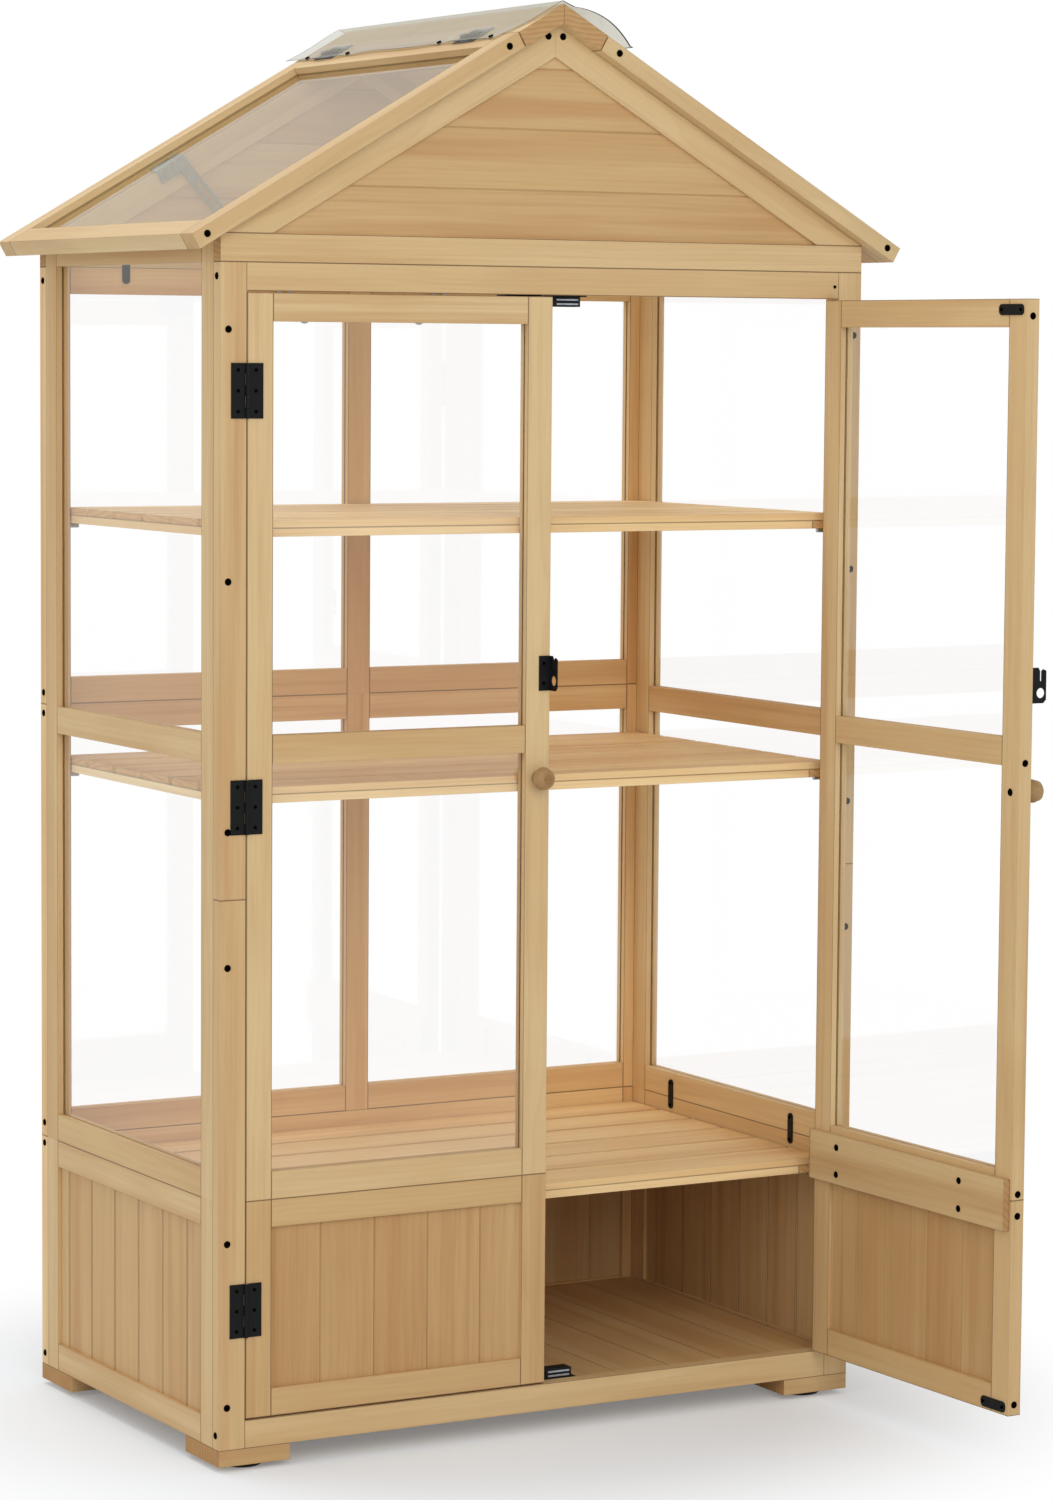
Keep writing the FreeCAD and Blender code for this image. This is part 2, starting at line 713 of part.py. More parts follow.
def door_hinges():
    """Three butt hinges on each door; returns the moving leaves and the pins."""
    fixed_leaf, moving_leaf, pin = hinge_parts("door_hinge", "hinge_height", 5)
    gap_x = size_of("cabinet_width") / 2 - size_of("board_width") - size_of("door_side_gap") / 2
    fixed, pins, moving = [], [], {"left": [], "right": []}
    for side, sign in zip(SIDES, (-1, 1)):
        for level in ("top", "middle", "low"):
            z = size_of(f"hinge_{level}_height")
            half = size_of("hinge_height") / 2
            if side == "left":
                spot = FreeCAD.Placement(world(sign * gap_x, 0, z - half), FreeCAD.Rotation())
            else:
                over = FreeCAD.Rotation(FreeCAD.Vector(0, 1, 0), 180)
                spot = FreeCAD.Placement(world(sign * gap_x, 0, z + half), over)
            tag = f"{side}_{level}"
            fixed.append(copied(f"fixed_leaf_{tag}", fixed_leaf, spot))
            pins.append(copied(f"door_pin_{tag}", pin, spot))
            moving[side].append(copied(f"moving_leaf_{tag}", moving_leaf, spot))
    node("door_hinge_fixed_leaves", fixed)
    return moving, pins


# Doors: a glazed frame above, a boarded frame below, and a batten across the
# joint inside. Both are made shut; the right one is then turned open.
def doors():
    """Both doors with their fittings; returns the pins of their hinges."""
    moving, pins = door_hinges()
    for side in SIDES:
        left = side == "left"
        x = f"(board_width + door_side_gap - {HALF})"
        if not left:
            x = f"({HALF} - board_width - door_side_gap - door_width)"
        swing = door_swing(side)

        def door_node(label, pieces):
            node(f"{side}_door_{label}", pieces).Placement = swing

        def from_edge(inset, length):
            """Where a piece starts that lies inset from the door's free edge."""
            return f"({x} + door_width - {inset} - {length})" if left else f"({x} + {inset})"

        foot = (x, "0", "storage_height")
        height = "(door_top - storage_height)"
        rails = ["0", "(door_waist_height - storage_height)", f"({height} - board_width)"]
        upper, bays = frame(f"{side}_door_upper", "front", foot, "door_width", height, rails,
                            "pane_thickness")
        door_node("panes", panes(f"{side}_door_pane", "front", foot, bays))
        foot = (x, "0", "door_foot")
        height = "(storage_height - door_foot)"
        lower, bays = frame(f"{side}_door_lower", "front", foot, "door_width", height,
                            ["0", f"({height} - board_width)"], "plank_thickness")
        door_node("frame", upper + lower)
        door_node("planks", planks(f"{side}_door_plank", "front", foot, bays[0],
                                   "door_first_plank", "plank_cover", 5))
        batten_length = "(door_width - batten_hinge_gap - batten_edge_gap)"
        door_node("batten", [box(f"{side}_batten", (from_edge("batten_edge_gap", batten_length),
                                                    "board_thickness", "batten_foot"),
                                 (batten_length, "batten_thickness", "batten_height"))])
        strikes = []
        for end, z in (("top", "door_top - strike_width - strike_top_inset"),
                       ("low", "door_foot + strike_foot_inset")):
            strikes.append(box(f"{side}_strike_{end}", (from_edge("strike_inset", "strike_length"),
                                                        "board_thickness", z),
                               ("strike_length", "strike_thickness", "strike_width")))
        door_node("strike_plates", strikes)
        door_node("hinge_leaves", moving[side])
        door_node("knob", [knob(side, from_edge("knob_inset", "0"))])
        door_node("hasp", [hasp(side, from_edge("0", "hasp_leaf_width"),
                                from_edge("0", "hasp_thickness"))])
    return pins


def knob(side, x):
    """A turned wooden knob: rings from its foot on the door out to its domed face."""
    rings = []
    for level in ("foot", "neck", "belly", "brow", "face"):
        ring = doc.addObject("Part::RegularPolygon", f"{side}_knob_{level}")
        ring.Polygon = KNOB_FLATS
        ring.setExpression("Circumradius", bind(f"knob_{level}_radius"))
        ring.Placement = FreeCAD.Placement(FreeCAD.Vector(), FreeCAD.Rotation(FreeCAD.Vector(1, 0, 0), 90))
        rings.append(place(ring, (x, f"-knob_{level}_height", "knob_height")))
    skin = doc.addObject("Part::Loft", f"{side}_knob")
    skin.Sections = rings
    skin.Solid = True
    skin.Ruled = True
    skin.Linearize = True
    return skin


def hasp(side, leaf_x, ear_x):
    """An angle bracket: a leaf on the door and an ear with a slot and an eye."""
    leaf = box(f"{side}_hasp_leaf", (leaf_x, "-hasp_thickness", "hasp_foot"),
               ("hasp_leaf_width", "hasp_thickness", "hasp_height"))
    body = doc.addObject("PartDesign::Body", f"{side}_hasp_ear")
    sketch = new_sketch(body, "YZ_Plane")
    mid = "-hasp_reach / 2 - hasp_slot_offset"
    half = "hasp_slot_width / 2"
    mouth = "hasp_height - hasp_mouth_depth"
    outline(sketch, [
        ("0", "0"), ("0", "hasp_height"),
        (f"{mid} + {half} + hasp_mouth_width", "hasp_height"), (f"{mid} + {half}", mouth),
        (f"{mid} + {half}", "hasp_height - hasp_slot_depth"),
        (f"{mid} - {half}", "hasp_height - hasp_slot_depth"),
        (f"{mid} - {half}", mouth),
        (f"{mid} - {half} - hasp_mouth_width", "hasp_height - hasp_mouth_depth / 2"),
        ("-hasp_reach", "hasp_height - hasp_corner"),
        ("-hasp_reach", "hasp_corner"), ("hasp_corner - hasp_reach", "0"),
    ])
    circle(sketch, mid, "hasp_eye_height", "hasp_eye_radius")
    pad(body, sketch, "hasp_thickness")
    place(body, (ear_x, "0", "hasp_foot"))
    return fuse(f"{side}_hasp_bracket", [leaf, body])


# Magnetic catches: two under the top rail and two on the floor
def catches():
    pieces = []
    for side in SIDES:
        for end in ("top", "low"):
            wide, inner = "catch_flange_length", "catch_length"
            near = "catch_inset"
            mid = f"({near} + ({wide} - {inner}) / 2)"
            x, body_x = near, mid
            if side == "left":
                x, body_x = f"-{near} - {wide}", f"-{mid} - {inner}"
            name = f"catch_{side}_{end}"
            if end == "top":
                seat = "(front_height - board_width)"
                solids = [
                    box(f"{name}_back", (x, "board_thickness", seat),
                        (wide, "catch_plate", "catch_back_height")),
                    box(f"{name}_web", (x, "board_thickness", f"{seat} - catch_plate"),
                        (wide, "catch_front - board_thickness + catch_depth", "catch_plate")),
                    box(f"{name}_case", (body_x, "catch_front", f"{seat} - catch_plate - catch_height"),
                        (inner, "catch_depth", "catch_height")),
                ]
            else:
                solids = [
                    box(f"{name}_flange", (x, "catch_front", "floor_top"),
                        (wide, "catch_depth", "catch_plate")),
                    box(f"{name}_case", (body_x, "catch_front", "floor_top + catch_plate"),
                        (inner, "catch_depth", "catch_height")),
                ]
            pieces.append(fuse(name, solids))
    node("door_catches", pieces)


# Mending plates: steel strips with clipped corners across the frames' joints
def mending_plates():
    body = doc.addObject("PartDesign::Body", "mend_strip")
    sketch = new_sketch(body, "XY_Plane")
    side, inner = "mend_width / 2", "(mend_width / 2 - mend_corner)"
    near, far = "mend_corner", "mend_length - mend_corner"
    outline(sketch, [
        (near, f"-{side}"), (far, f"-{side}"), ("mend_length", f"-{inner}"), ("mend_length", inner),
        (far, side), (near, side), ("0", inner), ("0", f"-{inner}"),
    ])
    pad(body, sketch, "mend_thickness")
    doc.recompute()
    pieces = []
    inside = size_of("cabinet_width") / 2 - size_of("board_thickness")
    upright = FreeCAD.Rotation(FreeCAD.Vector(0, 1, 0), -90)
    for side, x in (("left", -inside + size_of("mend_thickness")), ("right", inside)):
        for end in ("front", "rear"):
            y = size_of(f"mend_{end}")
            spot = FreeCAD.Placement(world(x, y, size_of("mend_foot")), upright)
            pieces.append(copied(f"mend_{side}_{end}", body, spot))
    back = size_of("cabinet_depth") - size_of("board_thickness")
    facing = FreeCAD.Rotation(FreeCAD.Vector(0, 0, 1), 90) * upright
    low = size_of("front_height") - size_of("mend_length") / 2
    for side, sign in zip(SIDES, (-1, 1)):
        spot = FreeCAD.Placement(world(sign * size_of("mend_gable_across"), back, low), facing)
        pieces.append(copied(f"mend_gable_{side}", body, spot))
    node("mending_plates", pieces)


# Roof: what lies on a slope is made flat, from the apex outwards along X with
# its underside at z = 0, and is then turned down about the apex
def slope(side):
    """The placement of a roof slope's own directions in the model's frame."""
    run = size_of("cabinet_width") / 2
    pitch = size_of("roof_pitch")
    apex = size_of("front_height") + size_of("board_width") + run * math.tan(math.radians(pitch))
    tip = 1 if side == "right" else -1
    return FreeCAD.Placement(world(0, 0, apex), FreeCAD.Rotation(FreeCAD.Vector(0, 1, 0), tip * pitch))


def outward(side, start, length):
    """Where a piece starts along X that lies outward from start for a length."""
    return start if side == "right" else f"(-1 * ({start}) - ({length}))"


def ridge():
    boards = []
    for side, sign in zip(SIDES, ("-", "")):
        run = "(ridge_face * cos(roof_pitch))"
        fall = "(ridge_face * sin(roof_pitch))"
        corners = [("0", "0"), (f"{sign}{run}", f"-{fall}"),
                   (f"{sign}({run} + roof_thickness * sin(roof_pitch))",
                    f"roof_thickness * cos(roof_pitch) - {fall}"),
                   ("0", "roof_thickness / cos(roof_pitch)")]
        boards.append(profile(f"{side}_ridge", "XZ_Plane", corners,
                              "cabinet_depth + ridge_front_overhang + ridge_rear_overhang",
                              ("0", "-ridge_front_overhang", f"{GABLE_TOP} + {APEX}")))
    node("ridge_boards", boards)


def lid_hinges():
    """Two small butt hinges on each lid; returns the moving leaves and the pins."""
    fixed_leaf, moving_leaf, pin = hinge_parts("lid_hinge", "lid_hinge_height", 3)
    fixed, pins, moving = [], [], {"left": [], "right": []}
    seam = size_of("ridge_face") + size_of("lid_gap") / 2
    top = size_of("roof_thickness") + size_of("lid_lift")
    half = size_of("lid_hinge_height") / 2
    for side, sign in zip(SIDES, (-1, 1)):
        flat = FreeCAD.Rotation(FreeCAD.Vector(1, 0, 0), -90)
        if side == "left":
            flat = FreeCAD.Rotation(FreeCAD.Vector(0, 0, 1), 180) * flat
        for end in ("front", "rear"):
            y = size_of(f"lid_hinge_{end}") - sign * half
            local = FreeCAD.Placement(FreeCAD.Vector(sign * seam, y, top), flat)
            spot = slope(side) * local
            tag = f"{side}_{end}"
            fixed.append(copied(f"ridge_leaf_{tag}", fixed_leaf, spot))
            pins.append(copied(f"lid_pin_{tag}", pin, spot))
            moving[side].append(copied(f"lid_leaf_{tag}", moving_leaf, spot))
    node("lid_hinge_fixed_leaves", fixed)
    return moving, pins


def lids():
    """Both lids; returns the pins of their hinges."""
    moving, pins = lid_hinges()
    width = "(cabinet_depth + lid_front_overhang + lid_rear_overhang)"
    start = "(ridge_face + lid_gap)"
    for side in SIDES:
        foot = (outward(side, start, "lid_length"), "-lid_front_overhang", "lid_lift")
        boards, bays = frame(f"{side}_lid", "roof", foot, width, "lid_length",
                             ["0", "(lid_length - board_width)"], "pane_thickness",
                             thickness="roof_thickness", put=put_flat)
        node(f"{side}_lid_frame", boards).Placement = slope(side)
        node(f"{side}_lid_pane", panes(f"{side}_lid", "roof", foot, bays, "roof_thickness",
                                       put_flat)).Placement = slope(side)
        node(f"{side}_lid_hinge_leaves", moving[side])
    return pins


# Stays: a bracket on the lid, a slotted arm pinned to it, and a shouldered
# screw in the rear gable's base rail on which the arm's slot slides
def stays():
    ear_front = "(stay_front + stay_thickness + stay_play)"
    rail_back = "(cabinet_depth + lid_rear_overhang - board_width)"
    screws = []
    for side, sign in zip(SIDES, (-1, 1)):
        a = outward(side, "stay_pivot_along - stay_width / 2", "bracket_length")
        pivot = "stay_pivot_along" if side == "right" else "-stay_pivot_along"
        name = f"{side}_bracket"
        ear_foot = "-stay_pivot_drop - stay_width / 2"
        ear_tall = "stay_pivot_drop + stay_width / 2 + bracket_lift + bracket_thickness"
        rivet_start = "stay_front - stay_play"
        solids = [
            box(f"{name}_ear", (a, ear_front, ear_foot),
                ("bracket_length", "bracket_thickness", ear_tall), put_flat),
            box(f"{name}_strap", (a, ear_front, "bracket_lift"),
                ("bracket_length", f"{rail_back} - {ear_front}", "bracket_thickness"), put_flat),
            box(f"{name}_tab", (a, f"{rail_back} - bracket_thickness", "bracket_lift"),
                ("bracket_length", "bracket_thickness", "bracket_tab"), put_flat),
            rod(f"{name}_rivet", (pivot, rivet_start, "-stay_pivot_drop"), "y",
                "stay_rivet_radius", "stay_thickness + 2 * stay_play + bracket_thickness / 2", put_flat),
            rod(f"{name}_rivet_head", (pivot, f"{rivet_start} - stay_rivet_head", "-stay_pivot_drop"),
                "y", "stay_rivet_radius * 2", "stay_rivet_head", put_flat),
        ]
        node(f"{side}_stay_bracket", [fuse(name, solids)]).Placement = slope(side)

        body = doc.addObject("PartDesign::Body", f"{side}_arm")
        sketch = new_sketch(body, "XZ_Plane")
        obround(sketch, "0", "stay_slot_end", "stay_width / 2",
                (0, size_of("stay_slot_end"), size_of("stay_width") / 2))
        pad(body, sketch, "stay_thickness")
        doc.recompute()
        slot = doc.addObject("Sketcher::SketchObject", f"{side}_arm_slot_sketch")
        body.addObject(slot)
        slot.AttachmentSupport = (plane_of(body, "XZ_Plane"), [""])
        slot.MapMode = "FlatFace"
        obround(slot, "stay_slot_start", "stay_slot_end", "stay_slot_width / 2",
                (size_of("stay_slot_start"), size_of("stay_slot_end"), size_of("stay_slot_width") / 2))
        circle(slot, "0", "0", "stay_rivet_radius + hinge_running_fit")
        pocket = body.newObject("PartDesign::Pocket", f"{side}_arm_slot")
        pocket.Profile = slot
        pocket.Type = "ThroughAll"
        pocket.Midplane = True
        body.Tip = pocket
        head = stay_head(side)
        anchor = world(sign * size_of("stay_screw_across"), size_of("stay_front"),
                       size_of("stay_screw_height"))
        aim = math.degrees(math.atan2(anchor.z - head.z, anchor.x - head.x))
        turn = FreeCAD.Rotation(FreeCAD.Vector(0, 1, 0), -aim)
        node(f"{side}_stay_arm", [body]).Placement = FreeCAD.Placement(head, turn)

        x = f"{'-' if side == 'left' else ''}stay_screw_across"
        z = "stay_screw_height"
        screws.append(fuse(f"{side}_stay_screw", [
            rod(f"{side}_stay_spacer", (x, ear_front, z), "y", "stay_head_radius",
                f"{BACK} - {ear_front}"),
            rod(f"{side}_stay_shank", (x, "stay_front - stay_play", z), "y", "stay_screw_radius",
                "stay_thickness + 2 * stay_play"),
            rod(f"{side}_stay_screw_head", (x, "stay_front - stay_play - stay_head_height", z), "y",
                "stay_head_radius", "stay_head_height"),
        ]))
    node("stay_screws", screws)


def stay_head(side):
    """Where a stay's arm is pinned to its lid, in the model's frame."""
    sign = 1 if side == "right" else -1
    local = FreeCAD.Vector(sign * size_of("stay_pivot_along"), size_of("stay_front"),
                           -size_of("stay_pivot_drop"))
    return slope(side).multVec(local)


# Rain film: a soft clear sheet folded over the ridge and screwed to both lids.
# It bends where the lids turn, so the ridge and each lid carry a stretch of it.
def film():
    def across(side, along, up):
        """A point of the film's section, from the apex: along a slope and above it."""
        x = f"(({along}) * cos(roof_pitch) + ({up}) * sin(roof_pitch))"
        return f"-{x}" if side == "left" else x, f"({up}) * cos(roof_pitch) - ({along}) * sin(roof_pitch)"

    corner = ("0", "film_front", f"{GABLE_TOP} + {APEX}")
    near = "ridge_face - film_fold_gap"
    far = "ridge_face + film_fold_gap"
    fold = "roof_thickness + film_clearance"
    rest = "roof_thickness + lid_lift + hinge_leaf_thickness + film_clearance"
    section = [
        across("left", near, "film_left_rise"),
        ("0", f"({fold}) / cos(roof_pitch)"),
        across("right", near, "film_right_rise"),
        across("right", near, "film_right_rise + film_thickness"),
        ("0", f"({fold} + film_thickness) / cos(roof_pitch)"),
        across("left", near, "film_left_rise + film_thickness"),
    ]
    node("ridge_film", [profile("film_cap", "XZ_Plane", section, "film_length", corner)])
    for side in SIDES:
        rise, reach = f"film_{side}_rise", f"film_{side}_reach"
        section = [across(side, far, rise), across(side, reach, rest),
                   across(side, reach, f"{rest} + film_thickness"),
                   across(side, far, f"{rise} + film_thickness")]
        node(f"{side}_film_flap", [profile(f"film_flap_{side}", "XZ_Plane", section,
                                           "film_length", corner)])


front_frame()
side_walls()
back_wall()
gables()
floor()
shelves()
feet()
door_pins = doors()
catches()
mending_plates()
ridge()
lid_pins = lids()
node("hinge_pins", door_pins + lid_pins)
stays()
film()
doc.recompute()

for item in doc.Objects:
    if "Invalid" in item.State or "Error" in item.State:
        raise RuntimeError(f"{item.Name} could not be built: {item.State}")
for label, piece in nodes.items():
    if piece.Shape.isNull() or not piece.Shape.isValid() or not piece.Shape.Solids:
        raise RuntimeError(f"{label} has no valid solid")

os.makedirs("parts", exist_ok=True)
for label, piece in nodes.items():
    piece.Shape.exportStep(os.path.join("parts", f"{label}.step"))
print(len(nodes), "nodes,", sum(len(piece.Shape.Solids) for piece in nodes.values()), "solids")
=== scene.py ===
import math
import random

import bmesh
import bpy
from mathutils import Matrix, Vector


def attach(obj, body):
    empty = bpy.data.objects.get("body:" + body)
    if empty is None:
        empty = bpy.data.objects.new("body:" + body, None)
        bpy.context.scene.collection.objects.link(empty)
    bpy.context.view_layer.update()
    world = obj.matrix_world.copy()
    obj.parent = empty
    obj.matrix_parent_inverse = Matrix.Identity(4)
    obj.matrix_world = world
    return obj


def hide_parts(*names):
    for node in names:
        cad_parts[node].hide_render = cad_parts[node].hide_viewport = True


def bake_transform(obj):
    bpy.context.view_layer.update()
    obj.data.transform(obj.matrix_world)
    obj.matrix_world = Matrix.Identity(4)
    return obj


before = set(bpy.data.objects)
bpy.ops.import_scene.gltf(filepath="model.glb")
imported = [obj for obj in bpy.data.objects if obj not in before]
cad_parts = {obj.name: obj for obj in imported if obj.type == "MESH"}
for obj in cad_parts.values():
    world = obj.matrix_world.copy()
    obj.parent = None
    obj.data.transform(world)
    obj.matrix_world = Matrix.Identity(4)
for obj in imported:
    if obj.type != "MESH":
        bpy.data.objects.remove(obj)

# The start-up scene's own cube, lamp and camera aren't part of this one
for name in ("Cube", "Light", "Camera"):
    if name in bpy.data.objects:
        bpy.data.objects.remove(bpy.data.objects[name])

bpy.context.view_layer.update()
scene = bpy.context.scene
SIDES = ("left", "right")
SIGN = {"left": -1, "right": 1}
WHITE = (1.0, 1.0, 1.0, 1.0)

# Places of the cabinet, in metres, in the frame of the CAD
HALF_WIDTH = 0.440
HALF_DEPTH = 0.262
STILE_INNER_X = 0.407
STILE_INNER_Y = 0.211
BOARD = 0.018
FOOT = 0.027
STORAGE_TOP = 0.321
MIDDLE_TOP = 0.8705
TIER = 0.5495
EAVES = 1.417
GABLE_TOP = 1.450
PITCH = math.radians(30)
APEX = GABLE_TOP + HALF_WIDTH * math.tan(PITCH)

# Places of the doors, as they are when shut
DOOR_MIDDLE = 0.2035
DOOR_CLEAR = 0.169
DOOR_FREE_EDGE = 0.0015
DOOR_HINGE_EDGE = 0.4055
DOOR_FOOT = 0.062
DOOR_HEIGHT = 1.320
INNER_FACE = -HALF_DEPTH + BOARD
RIGHT_PIN = Vector((0.40625, -0.2647, 0.0))
OPEN = math.radians(92)


def linear(r, g, b):
    """A colour given as it looks on a screen, from 0 to 255, for a shader."""
    def one(v):
        v = v / 255
        return v / 12.92 if v <= 0.04045 else ((v + 0.055) / 1.055) ** 2.4
    return one(r), one(g), one(b), 1.0


# Shader trees: short calls that add a node and return its output
class Tree:
    def __init__(self, tree):
        self.tree = tree
        tree.nodes.clear()

    def add(self, kind, **settings):
        made = self.tree.nodes.new("ShaderNode" + kind)
        for key, value in settings.items():
            setattr(made, key, value)
        return made

    def wire(self, value, socket):
        if isinstance(value, bpy.types.NodeSocket):
            self.tree.links.new(value, socket)
        elif value is not None:
            socket.default_value = value

    def math(self, operation, a, b=None, c=None):
        made = self.add("Math", operation=operation)
        for value, socket in zip((a, b, c), made.inputs):
            self.wire(value, socket)
        return made.outputs[0]

    def vector(self, operation, a, b=None):
        made = self.add("VectorMath", operation=operation)
        self.wire(a, made.inputs[0])
        self.wire(b, made.inputs[1])
        return made.outputs["Value" if operation == "DOT_PRODUCT" else "Vector"]

    def scaled(self, vector, factors):
        return self.vector("MULTIPLY", vector, factors)

    def centred(self, color, reach):
        """A random colour as a shift to both sides of zero."""
        return self.scaled(self.vector("SUBTRACT", color, (0.5, 0.5, 0.5)), reach)

    def split(self, vector):
        made = self.add("SeparateXYZ")
        self.wire(vector, made.inputs[0])
        return made.outputs[0], made.outputs[1], made.outputs[2]

    def join(self, x, y, z):
        made = self.add("CombineXYZ")
        for value, socket in zip((x, y, z), made.inputs):
            self.wire(value, socket)
        return made.outputs[0]

    def noise(self, vector, scale=1.0, detail=2.0, rough=0.5):
        made = self.add("TexNoise")
        self.wire(vector, made.inputs["Vector"])
        self.wire(scale, made.inputs["Scale"])
        self.wire(detail, made.inputs["Detail"])
        self.wire(rough, made.inputs["Roughness"])
        return made.outputs[0], made.outputs[1]

    def chance(self, number):
        """A random value and a random colour for each whole number."""
        made = self.add("TexWhiteNoise", noise_dimensions="1D")
        self.wire(number, made.inputs["W"])
        return made.outputs["Value"], made.outputs["Color"]

    def ramp(self, value, low, high, to_low=0.0, to_high=1.0, smooth=True):
        made = self.add("MapRange", interpolation_type="SMOOTHSTEP" if smooth else "LINEAR")
        for item, socket in zip((value, low, high, to_low, to_high), made.inputs):
            self.wire(item, socket)
        return made.outputs[0]

    def mix(self, factor, a, b, kind="RGBA", blend="MIX"):
        """A mix of two colours, two vectors or two numbers."""
        made = self.add("Mix", data_type=kind)
        first, out = {"FLOAT": (2, 0), "VECTOR": (4, 1), "RGBA": (6, 2)}[kind]
        if kind == "RGBA":
            made.blend_type = blend
        self.wire(factor, made.inputs[0])
        self.wire(a, made.inputs[first])
        self.wire(b, made.inputs[first + 1])
        return made.outputs[out]

    def bump(self, height, strength, distance, normal=None):
        made = self.add("Bump")
        self.wire(strength, made.inputs["Strength"])
        self.wire(distance, made.inputs["Distance"])
        self.wire(height, made.inputs["Height"])
        self.wire(normal, made.inputs["Normal"])
        return made.outputs[0]

    def rounded(self, radius):
        made = self.add("Bevel", samples=4)
        made.inputs["Radius"].default_value = radius
        return made.outputs[0]

    def spot(self):
        return self.add("TexCoord").outputs["Object"]

    def shader(self, kind, **sockets):
        made = self.add(kind)
        for key, value in sockets.items():
            self.wire(value, made.inputs[key.replace("_", " ")])
        return made.outputs[0]

    def blended(self, factor, a, b):
        made = self.add("MixShader")
        for value, socket in zip((factor, a, b), made.inputs):
            self.wire(value, socket)
        return made.outputs[0]

    def surface(self, shader):
        out = self.add("OutputMaterial")
        self.tree.links.new(shader, out.inputs["Surface"])


def material(name):
    made = bpy.data.materials.new(name)
    made.use_nodes = True
    return made, Tree(made.node_tree)


# Fir: the width of a ring and of a glued strip, and each mark's scale with the grain along Z
RING = 0.0062
STRIP = 0.034
WANDER = (5.0, 5.0, 1.6)
KNOTS = (7.0, 7.0, 2.2)
FIBRE = (900.0, 900.0, 12.0)
STREAK = (120.0, 120.0, 2.4)
BROAD = (30.0, 30.0, 1.2)
CLOUD = (9.0, 9.0, 3.5)

# Tones of the wood, as they look on a screen
PALE_BOARD, DEEP_BOARD = linear(219, 191, 143), linear(207, 173, 121)
DEEP_STRIP = linear(199, 159, 110)
DEEP_BROAD, PALE_BROAD = linear(193, 150, 100), linear(229, 204, 158)
DEEP_CLOUD = linear(200, 162, 110)
LATE_WOOD = linear(178, 136, 90)
FAINT_STREAK, DARK_STREAK = linear(182, 140, 94), linear(146, 101, 64)
DARK_FIBRE = linear(166, 124, 82)
KNOT_HALO, KNOT_HEART = linear(176, 124, 74), linear(104, 66, 38)
END_GRAIN, END_RING = linear(184, 140, 88), linear(136, 94, 54)
# Painted shade for the seams and gaps where boards meet
PAINTED_GAP_SHADE = linear(92, 60, 34)


def fir_group():
    """Rings round a pith beside the board, fibres along it, glued strips and a few small knots."""
    tree = bpy.data.node_groups.new("fir", "ShaderNodeTree")
    for name, kind in (("Place", "NodeSocketVector"), ("Board", "NodeSocketFloat"),
                       ("End", "NodeSocketFloat"), ("Gap", "NodeSocketFloat")):
        tree.interface.new_socket(name, in_out="INPUT", socket_type=kind)
    for name, kind in (("Color", "NodeSocketColor"), ("Roughness", "NodeSocketFloat"),
                       ("Height", "NodeSocketFloat")):
        tree.interface.new_socket(name, in_out="OUTPUT", socket_type=kind)
    t = Tree(tree)
    place, board, end, gap = tree.nodes.new("NodeGroupInput").outputs[:4]
    out = tree.nodes.new("NodeGroupOutput")

    shade, spread = t.chance(board)
    moved = t.vector("ADD", place, t.centred(spread, (0.16, 0.16, 3.0)))
    near, knot = knots(t, moved)
    late = late_wood(t, moved, near)
    strip = t.chance(strip_number(t, place, shade, board))[0]
    fibre = t.noise(t.scaled(moved, FIBRE), detail=2.0, rough=0.6)[0]
    streak = t.noise(t.scaled(moved, STREAK), detail=3.0, rough=0.6)[0]
    broad = t.noise(t.scaled(moved, BROAD), detail=3.0, rough=0.55)[0]
    cloud = t.noise(t.scaled(moved, CLOUD), detail=2.0, rough=0.5)[0]

    tone = t.mix(t.ramp(shade, 0.0, 1.0, 0.0, 0.8, smooth=False), PALE_BOARD, DEEP_BOARD)
    for share, other in ((t.ramp(strip, 0.45, 1.0, 0.0, 0.34), DEEP_STRIP),
                         (t.ramp(broad, 0.46, 0.72, 0.0, 0.70), DEEP_BROAD),
                         (t.ramp(broad, 0.44, 0.22, 0.0, 0.40), PALE_BROAD),
                         (t.ramp(cloud, 0.45, 0.72, 0.0, 0.45), DEEP_CLOUD),
                         (t.math("MULTIPLY", late, 0.15), LATE_WOOD),
                         (t.ramp(streak, 0.52, 0.80, 0.0, 0.36), FAINT_STREAK),
                         (t.ramp(streak, 0.74, 0.84, 0.0, 0.45), DARK_STREAK),
                         (t.ramp(fibre, 0.45, 0.75, 0.0, 0.13), DARK_FIBRE),
                         (t.math("MULTIPLY", near, 0.30), KNOT_HALO),
                         (t.math("MULTIPLY", knot, 0.80), KNOT_HEART),
                         (t.math("MULTIPLY", end, 0.72), END_GRAIN),
                         (t.math("MULTIPLY", end, t.math("MULTIPLY", late, 0.5)), END_RING),
                         # painted shade in the seams between boards
                         (t.math("MULTIPLY", gap, 0.85), PAINTED_GAP_SHADE)):
        tone = t.mix(share, tone, other)
    t.wire(tone, out.inputs[0])
    grain = t.math("MULTIPLY_ADD", fibre, 0.16, t.math("MULTIPLY_ADD", late, -0.08, 0.50))
    t.wire(t.math("MULTIPLY_ADD", end, 0.2, grain), out.inputs[1])
    raised = t.math("ADD", t.math("MULTIPLY", fibre, 0.6), t.math("MULTIPLY", late, 0.5))
    t.wire(t.math("MULTIPLY_ADD", gap, -1.5, raised), out.inputs[2])
    return tree


